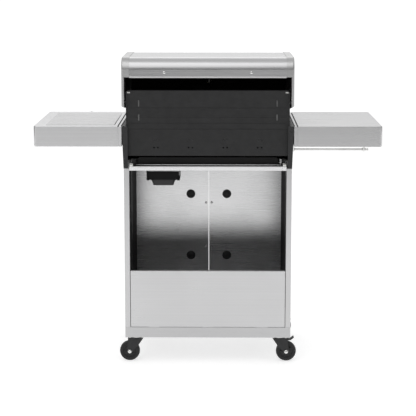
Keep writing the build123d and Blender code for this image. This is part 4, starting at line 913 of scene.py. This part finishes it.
# the panel leans back from its foot to its top, both (y, z)
PANEL_FOOT = (-0.228, 0.728)
PANEL_TOP = (-0.212, 0.884)
lean = math.atan2(PANEL_TOP[0] - PANEL_FOOT[0], PANEL_TOP[1] - PANEL_FOOT[1])
PANEL_OUT = (0.0, -math.cos(lean), math.sin(lean))
KNOB_Z = 0.818
KNOB_Y = PANEL_TOP[0] - (PANEL_TOP[1] - KNOB_Z) * math.tan(lean)
scales = []
for number, knob_x in enumerate(TUBE_PLACES, start=1):
    knob_at = (knob_x, KNOB_Y, KNOB_Z)
    control_knob(f"knob_{number}", knob_at, PANEL_OUT, f"knob_{number}_body", f"knob_{number}")
    scales += heat_scale(knob_at, PANEL_OUT)
shelf_low, shelf_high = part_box("side_shelf_right")
side_knob_low, side_knob_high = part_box("knob_side")
side_knob_at = (
    (side_knob_low[0] + side_knob_high[0]) / 2,
    shelf_low[1],
    (side_knob_low[2] + side_knob_high[2]) / 2,
)
control_knob("knob_side", side_knob_at, (0.0, -1.0, 0.0), "knob_side_body", "knob_side")
fitted("heat_scales", scales, scale_ink, "cart")
fitted("heat_scale_side", heat_scale(side_knob_at, (0, -1, 0)), scale_ink, "cart")

button_at = np.array((0.0, KNOB_Y, KNOB_Z))
cap = [(0.0086, 0.0), (0.0086, 0.0098), (0.0094, 0.0096), (0.0100, 0.0088), (0.0098, 0.0076)]
cap += [(0.0091, 0.0060), (0.0088, 0.0030), (0.0087, 0.0)]
cap = turned(cap, button_at, PANEL_OUT, 48)
fitted("igniter_cap", [cap], button_plastic, "button")

# ------------------------------------------------------------
# Side shelves. Folded stainless trays, open below, with a groove near the firebox whose
# upper walls are painted dark as shade; the right one holds a side burner under a flush lid,
# the left one a chromed towel rail.

shelf_steel = brushed_steel("shelf_steel", "X", shaded(STEEL, 0.99), 0.3)
# painted light: the right shelf's steel is a lit, lighter copy of the one steel
burner_shelf_lit_steel = brushed_steel("burner_shelf_lit_steel", "X", shaded(STEEL, 1.14), 0.32)
lid_steel = brushed_steel("lid_steel", "X", shaded(STEEL, 1.01), 0.28)
# painted shade: dark grey for the upper walls of the shelf grooves
groove_painted_shade = moulded("groove_painted_shade", (0.05, 0.05, 0.052), 0.5, 1500.0)
rail_chrome = plated("rail_chrome", (0.74, 0.74, 0.73), 0.13, 40.0)
wear(shelf_steel, "side_shelf_left")
wear(burner_shelf_lit_steel, "side_shelf_right")
wear(lid_steel, "side_burner_lid")
wear(rail_chrome, "towel_rail")

GROOVE_NEAR, GROOVE_FAR = 0.3209, 0.3261
GROOVE_DEPTH = 0.0012
GROOVE_FOOT = 0.0060


def groove_faces(middles):
    """Faces of a shelf that lie in the upper part of its groove, below the outer skin."""
    off = np.abs(middles[:, 0])
    across = (off > GROOVE_NEAR) & (off < GROOVE_FAR)
    below = middles[:, 2] < shelf_high[2] - GROOVE_DEPTH
    above = middles[:, 2] > shelf_high[2] - GROOVE_FOOT
    behind = middles[:, 1] < shelf_high[1] - GROOVE_DEPTH
    return across & below & above & behind & (middles[:, 1] > shelf_low[1] + GROOVE_DEPTH)


# painted shade in the grooves of both shelves
for shelf in ("side_shelf_right", "side_shelf_left"):
    repaint(shelf, groove_painted_shade, groove_faces)

# collars on the towel rail, at both sides of each hanger
towel_low, towel_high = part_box("towel_rail")
RAIL_Z = 0.737
rail_y = (towel_low[1] + towel_high[1]) / 2
collars = []
for hanger_x in (-0.334, -0.612):
    for way in (-1, 1):
        ring = [(0.002, 0.0051), (0.002, 0.0080), (0.0032, 0.0084), (0.0058, 0.0078)]
        ring += [(0.0070, 0.0064), (0.0072, 0.0051), (0.002, 0.0051)]
        collars.append(turned(ring, (hanger_x, rail_y, RAIL_Z), (way, 0, 0), 36))
fitted("towel_rail_collars", collars, rail_chrome, "cart")

# ------------------------------------------------------------
# Side burner. An enamelled steel bowl, a cast aluminium head with a cap and a ring of
# ports, and a cast-iron pan support that stands on the bowl's flange.

bowl_enamel = moulded("bowl_enamel", (0.022, 0.022, 0.0225), 0.35, 500.0, 2e-5, 0.5)
head_casting = plated("head_casting", (0.42, 0.42, 0.41), 0.48, 220.0)
wear(bowl_enamel, "side_burner_bowl")
wear(head_casting, "side_burner_head")

support_low, support_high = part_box("side_burner_grate")
burner_x = (support_low[0] + support_high[0]) / 2
burner_y = (support_low[1] + support_high[1]) / 2
burner_cap = [(0.8612, 0.0), (0.8612, 0.0290), (0.8622, 0.0300), (0.8634, 0.0296)]
burner_cap += [(0.8646, 0.0270), (0.8652, 0.0200), (0.8648, 0.0120), (0.8646, 0.0)]
cap = turned(burner_cap, (burner_x, burner_y, 0.0), (0, 0, 1), 64)
fitted("side_burner_cap", [cap], cup_enamel, "cart")

# spark electrode: a white ceramic sleeve with a bent steel wire to the burner's edge
ceramic = moulded("ceramic", (0.72, 0.70, 0.66), 0.3, 900.0, 1e-5, 0.5)
sleeve = [(0.8276, 0.0), (0.8276, 0.0040), (0.8450, 0.0040), (0.8456, 0.0034), (0.8520, 0.0030)]
sleeve += [(0.8526, 0.0024), (0.8526, 0.0)]
spark_x, spark_y = burner_x + 0.053, burner_y + 0.012
sleeve = turned(sleeve, (spark_x, spark_y, 0.0), (0, 0, 1), 24)
fitted("spark_sleeve", [sleeve], ceramic, "cart")


def wire_tube(path, radius):
    """Closed round bar along a path of points: circles across each point's tangent, with
    a pole at each end."""
    path = np.array(path, dtype=float)
    tangent = np.gradient(path, axis=0)
    tangent /= np.linalg.norm(tangent, axis=1)[:, None]
    guide = np.array((0.31, 0.52, 0.79))
    side = np.cross(tangent, guide)
    side /= np.linalg.norm(side, axis=1)[:, None]
    up = np.cross(tangent, side)
    angle = np.linspace(0.0, 2.0 * np.pi, 11)
    ring = path[:, None] + radius * (
        np.cos(angle)[None, :, None] * side[:, None] + np.sin(angle)[None, :, None] * up[:, None]
    )
    ends = np.broadcast_to(path[[0, -1], None], (2, len(angle), 3))
    return np.concatenate([ends[:1], ring, ends[1:]])


bend = np.linspace(0.0, np.pi / 2, 8)
WIRE_BEND = 0.003
wire = [(spark_x, spark_y, 0.8520)]
wire += [
    (spark_x - WIRE_BEND * (1.0 - math.cos(a)), spark_y, 0.8545 + WIRE_BEND * math.sin(a))
    for a in bend
]
wire += [(spark_x - 0.0075, spark_y - 0.0015, 0.8575)]
fitted("spark_wire", [wire_tube(wire, 0.0008)], screw_zinc, "cart")

# ------------------------------------------------------------
# Hood. One rolled skin of rubbed stainless with a bead along its rear lip, riveted to
# hangers inside; the two ends are aluminium castings with a satin finish.


def cast_satin(name, colour, roughness):
    """Die-cast aluminium, bead-blasted and lacquered: a very fine even grain and slow
    clouds in the gloss, with hardly any change of colour."""
    material, tree, shader = node_material(name, colour, 1.0, roughness)
    grain = pattern(tree, 2600.0, detail=1.0)
    clouds = pattern(tree, 9.0)
    gloss = between(tree, grain, roughness - 0.02, roughness + 0.02)
    polished(tree, shader, gloss, between(tree, clouds, -0.03, 0.03))
    tinted(tree, shader, clouds, ((0.3, shaded(colour, 0.97)), (0.7, shaded(colour, 1.02))))
    raised(tree, shader, grain, 6e-6)
    return material


# painted shade: the hood skin's steel is a slightly darker copy of the one steel
hood_shaded_steel = brushed_steel("hood_shaded_steel", "X", shaded(STEEL, 0.95), 0.3)
end_casting = cast_satin("end_casting", (0.52, 0.52, 0.52), 0.36)
# painted shade: near-black for the faces inside the closed hood
hood_inside_shade = moulded("hood_inside_shade", (0.020, 0.019, 0.018), 0.6, 400.0, 8e-5, 0.25)
wear(hood_shaded_steel, "hood_skin")
wear(end_casting, "hood_end_left", "hood_end_right")

skin_low, skin_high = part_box("hood_skin")
_, cap_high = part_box("hood_end_right")
SHEET_INSIDE = 0.0009   # a little more than half the sheet, inwards of the outer skin
FRONT_RADIUS = 0.200
REAR_RADIUS = 0.043
front_centre = (skin_low[1] + FRONT_RADIUS, skin_high[2] - FRONT_RADIUS)
rear_plane = skin_high[1] - 0.002
rear_centre = (rear_plane - REAR_RADIUS, skin_high[2] - REAR_RADIUS)


def under_skin(middles):
    """Points nearer to the inside than the middle of the sheet: below the top, inwards of
    the front and rear planes, and within the two corner radii."""
    y, z = middles[:, 1], middles[:, 2]
    inner = (z < skin_high[2] - SHEET_INSIDE) & (y > skin_low[1] + SHEET_INSIDE)
    inner &= y < rear_plane - SHEET_INSIDE
    front = (y < front_centre[0]) & (z > front_centre[1])
    far = np.hypot(y - front_centre[0], z - front_centre[1]) > FRONT_RADIUS - SHEET_INSIDE
    inner &= ~(front & far)
    rear = (y > rear_centre[0]) & (z > rear_centre[1])
    far = np.hypot(y - rear_centre[0], z - rear_centre[1]) > REAR_RADIUS - SHEET_INSIDE
    return inner & ~(rear & far)


BEAD_FRONT = rear_plane - 0.0046
BEAD_TOP = 1.0645
WELL_RADIUS, WELL_Z = 0.013, 1.012


def hood_inner_faces(middles):
    """Inner faces of the skin, without its bead and the rim of the thermometer's hole."""
    bead = (middles[:, 1] > BEAD_FRONT) & (middles[:, 2] < BEAD_TOP)
    well = (np.hypot(middles[:, 0], middles[:, 2] - WELL_Z) < WELL_RADIUS) & (middles[:, 1] < 0)
    return under_skin(middles) & ~bead & ~well


def cap_inner_faces(middles):
    """Faces of an end casting that are inside the hood."""
    return under_skin(middles) & (np.abs(middles[:, 0]) < cap_high[0] - 0.008)


# painted shade on the inner faces of the skin and the end castings
repaint("hood_skin", hood_inside_shade, hood_inner_faces)
for end in ("hood_end_left", "hood_end_right"):
    repaint(end, hood_inside_shade, cap_inner_faces)

RIVET_X, RIVET_Z = 0.157, 1.078
rivets = [
    turned(dome(0.0052, 0.0026, 0.0004), (side * RIVET_X, rear_plane, RIVET_Z), (0, 1, 0), 32)
    for side in (-1, 1)
]
fitted("hood_rivets", rivets, axle_chrome, "hood")

# ------------------------------------------------------------
# Hood handle. A satin tube with turned end caps, on two square posts that stand on black
# heat washers against the skin.

# painted light: the handle bar's steel is a lit, lighter copy of the one steel
hood_bar_lit_steel = brushed_steel("hood_bar_lit_steel", "X", shaded(STEEL, 1.12), 0.2)
wear(hood_bar_lit_steel, "hood_handle")
handle_low, handle_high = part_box("hood_handle")
BAR_RADIUS = 0.0125
bar_y = handle_low[1] + BAR_RADIUS
bar_z = (handle_low[2] + handle_high[2]) / 2
POST_X = 0.232
WASHER_HALF = 0.0165
ends, washers = [], []
for side in (-1, 1):
    end_cap = [(-0.006, BAR_RADIUS), (-0.006, 0.0131), (-0.0052, 0.0134), (0.0005, 0.0134)]
    end_cap += [(0.0022, 0.0129), (0.0036, 0.0112), (0.0044, 0.0080), (0.0047, 0.0)]
    ends.append(turned([(-0.006, 0.0), *end_cap], (side * 0.262, bar_y, bar_z), (side, 0, 0), 56))
    for ring_x in (POST_X - 0.0125, POST_X + 0.0125):
        ring = [(-0.0015, BAR_RADIUS), (-0.0015, 0.0130), (-0.0008, 0.0133), (0.0008, 0.0133)]
        ring += [(0.0015, 0.0130), (0.0015, BAR_RADIUS), (-0.0015, BAR_RADIUS)]
        ends.append(turned(ring, (side * ring_x, bar_y, bar_z), (1, 0, 0), 56))
    foot_x = side * POST_X
    low = (foot_x - WASHER_HALF, skin_low[1] - 0.0020, bar_z - WASHER_HALF)
    high = (foot_x + WASHER_HALF, skin_low[1] + 0.0002, bar_z + WASHER_HALF)
    washers.append(rounded_block(low, high, 0.0008, 4))
fitted("hood_handle_caps", ends, axle_chrome, "hood")
fitted("hood_handle_washers", washers, plug_plastic, "hood")

# ------------------------------------------------------------
# Thermometer. A chromed case with a rolled bezel over a printed dial; a red hand on its
# spindle under a domed glass, and the probe behind.

case_chrome = plated("case_chrome", (0.74, 0.74, 0.73), 0.12, 40.0)
dial_paint = moulded("dial_paint", (0.80, 0.80, 0.78), 0.45, 1500.0, 5e-6)
dial_ink = moulded("dial_ink", (0.012, 0.012, 0.013), 0.5, 1500.0, 5e-6)
zone_red = moulded("zone_red", (0.45, 0.03, 0.02), 0.45, 1500.0, 5e-6)
zone_amber = moulded("zone_amber", (0.62, 0.30, 0.03), 0.45, 1500.0, 5e-6)
needle_paint = moulded("needle_paint", (0.50, 0.03, 0.02), 0.35, 900.0, 5e-6)
wear(case_chrome, "thermometer_case")
wear(needle_paint, "thermometer_needle")

DIAL_LEAN = math.radians(24.0)
dial_out = np.array((0.0, -math.cos(DIAL_LEAN), math.sin(DIAL_LEAN)))
dial_up = np.array((0.0, math.sin(DIAL_LEAN), math.cos(DIAL_LEAN)))
dial_side = np.array((1.0, 0.0, 0.0))
dial_at = np.array((0.0, *front_centre)) + FRONT_RADIUS * dial_out
DIAL_FACE = 0.0031
face = [(0.0026, 0.0), (0.0026, 0.0326), (DIAL_FACE, 0.0326), (DIAL_FACE, 0.0018)]
face += [(0.0026, 0.0018), (0.0026, 0.0)]
fitted("dial_face", [turned(face, dial_at, dial_out, 72)], dial_paint, "hood")
bezel = [(0.0105, 0.0330), (0.0135, 0.0332), (0.0146, 0.0342), (0.0150, 0.0356)]
bezel += [(0.0145, 0.0370), (0.0130, 0.0377), (0.0108, 0.0378), (0.0098, 0.0372)]
bezel += [(0.0098, 0.0330), (0.0105, 0.0330)]
fitted("dial_bezel", [turned(bezel, dial_at, dial_out, 96)], case_chrome, "hood")


def dial_band(start, end, near, far, count):
    """Closed printed band on the dial between two clock angles and two radii."""
    clock = np.linspace(start, end, count)
    foot, top = DIAL_FACE - 0.0001, DIAL_FACE + 0.00015
    return printed_band(dial_at, dial_out, clock, near, far, foot, top)


# the hand stands at 225 degrees about the axis at rest and turns 250 degrees clockwise
DIAL_START = -135.0
DIAL_SWEEP = 250.0
LEAST, GREATEST = 50, 350       # degrees on the dial
share = DIAL_SWEEP / (GREATEST - LEAST)
ticks = []
for degree in range(LEAST, GREATEST + 1, 10):
    clock = DIAL_START + share * (degree - LEAST)
    long_tick = degree % 50 == 0
    wide = 0.9 if long_tick else 0.45
    ticks += dial_band(clock - wide, clock + wide, 0.0262 if long_tick else 0.0282, 0.0302, 3)
fitted("dial_ticks", ticks, dial_ink, "hood")
for zone, start, end, paint, slot in (
    ("amber", 70, 190, zone_amber, "dial_face"),
    ("red", 190, 300, zone_red, "needle_red"),
):
    band = dial_band(DIAL_START + start * share, DIAL_START + end * share, 0.0308, 0.0320, 40)
    fitted(f"dial_zone_{zone}", band, paint, "hood")

NUMBER_RING = 0.0212


def dial_number(text, clock):
    """Upright number on the dial: a flat text made a mesh, then laid on the dial."""
    curve = bpy.data.curves.new(f"dial_{text}", "FONT")
    curve.body = text
    curve.size = 0.0062
    curve.align_x = "CENTER"
    curve.align_y = "CENTER"
    curve.extrude = 0.0001
    holder = linked(f"dial_{text}", curve)
    bpy.context.view_layer.update()
    mesh = bpy.data.meshes.new_from_object(holder)
    bpy.data.objects.remove(holder)
    flat = np.zeros(len(mesh.vertices) * 3)
    mesh.vertices.foreach_get("co", flat)
    flat = flat.reshape(-1, 3)
    centre = on_disc(dial_at, dial_out, clock, NUMBER_RING, DIAL_FACE + 0.0001)
    laid = centre + flat @ np.stack([dial_side, dial_up, dial_out])
    mesh.vertices.foreach_set("co", laid.ravel())
    mesh.update()
    mesh.materials.clear()
    mesh.materials.append(dial_ink)
    number = linked(f"dial_number_{text}", mesh)
    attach(number, "hood")


for degree in range(LEAST, GREATEST + 1, 50):
    dial_number(str(degree), DIAL_START + share * (degree - LEAST))

lens_glass, lens_tree, lens_shader = node_material("lens_glass", (1.0, 1.0, 1.0), 0.0, 0.03)
lens_shader.inputs["Transmission Weight"].default_value = 1.0
lens_shader.inputs["IOR"].default_value = 1.1
smear = pattern(lens_tree, 60.0, detail=4.0)
lens_tree.links.new(between(lens_tree, smear, 0.015, 0.06), lens_shader.inputs["Roughness"])
lens = [(0.0098, 0.0), (0.0096, 0.0150), (0.0088, 0.0328)]
lens += [(0.0098, 0.0328), (0.0106, 0.0150), (0.0108, 0.0)]
glass = fitted("dial_glass", [turned(lens, dial_at, dial_out, 96)], lens_glass, "hood")
glass.visible_shadow = False
hub = [(0.0058, 0.0), (0.0058, 0.0036), (0.0066, 0.0036), (0.0074, 0.0028), (0.0077, 0.0)]
fitted("needle_hub", [turned(hub, dial_at, dial_out, 32)], dial_ink, "needle")

low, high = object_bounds()
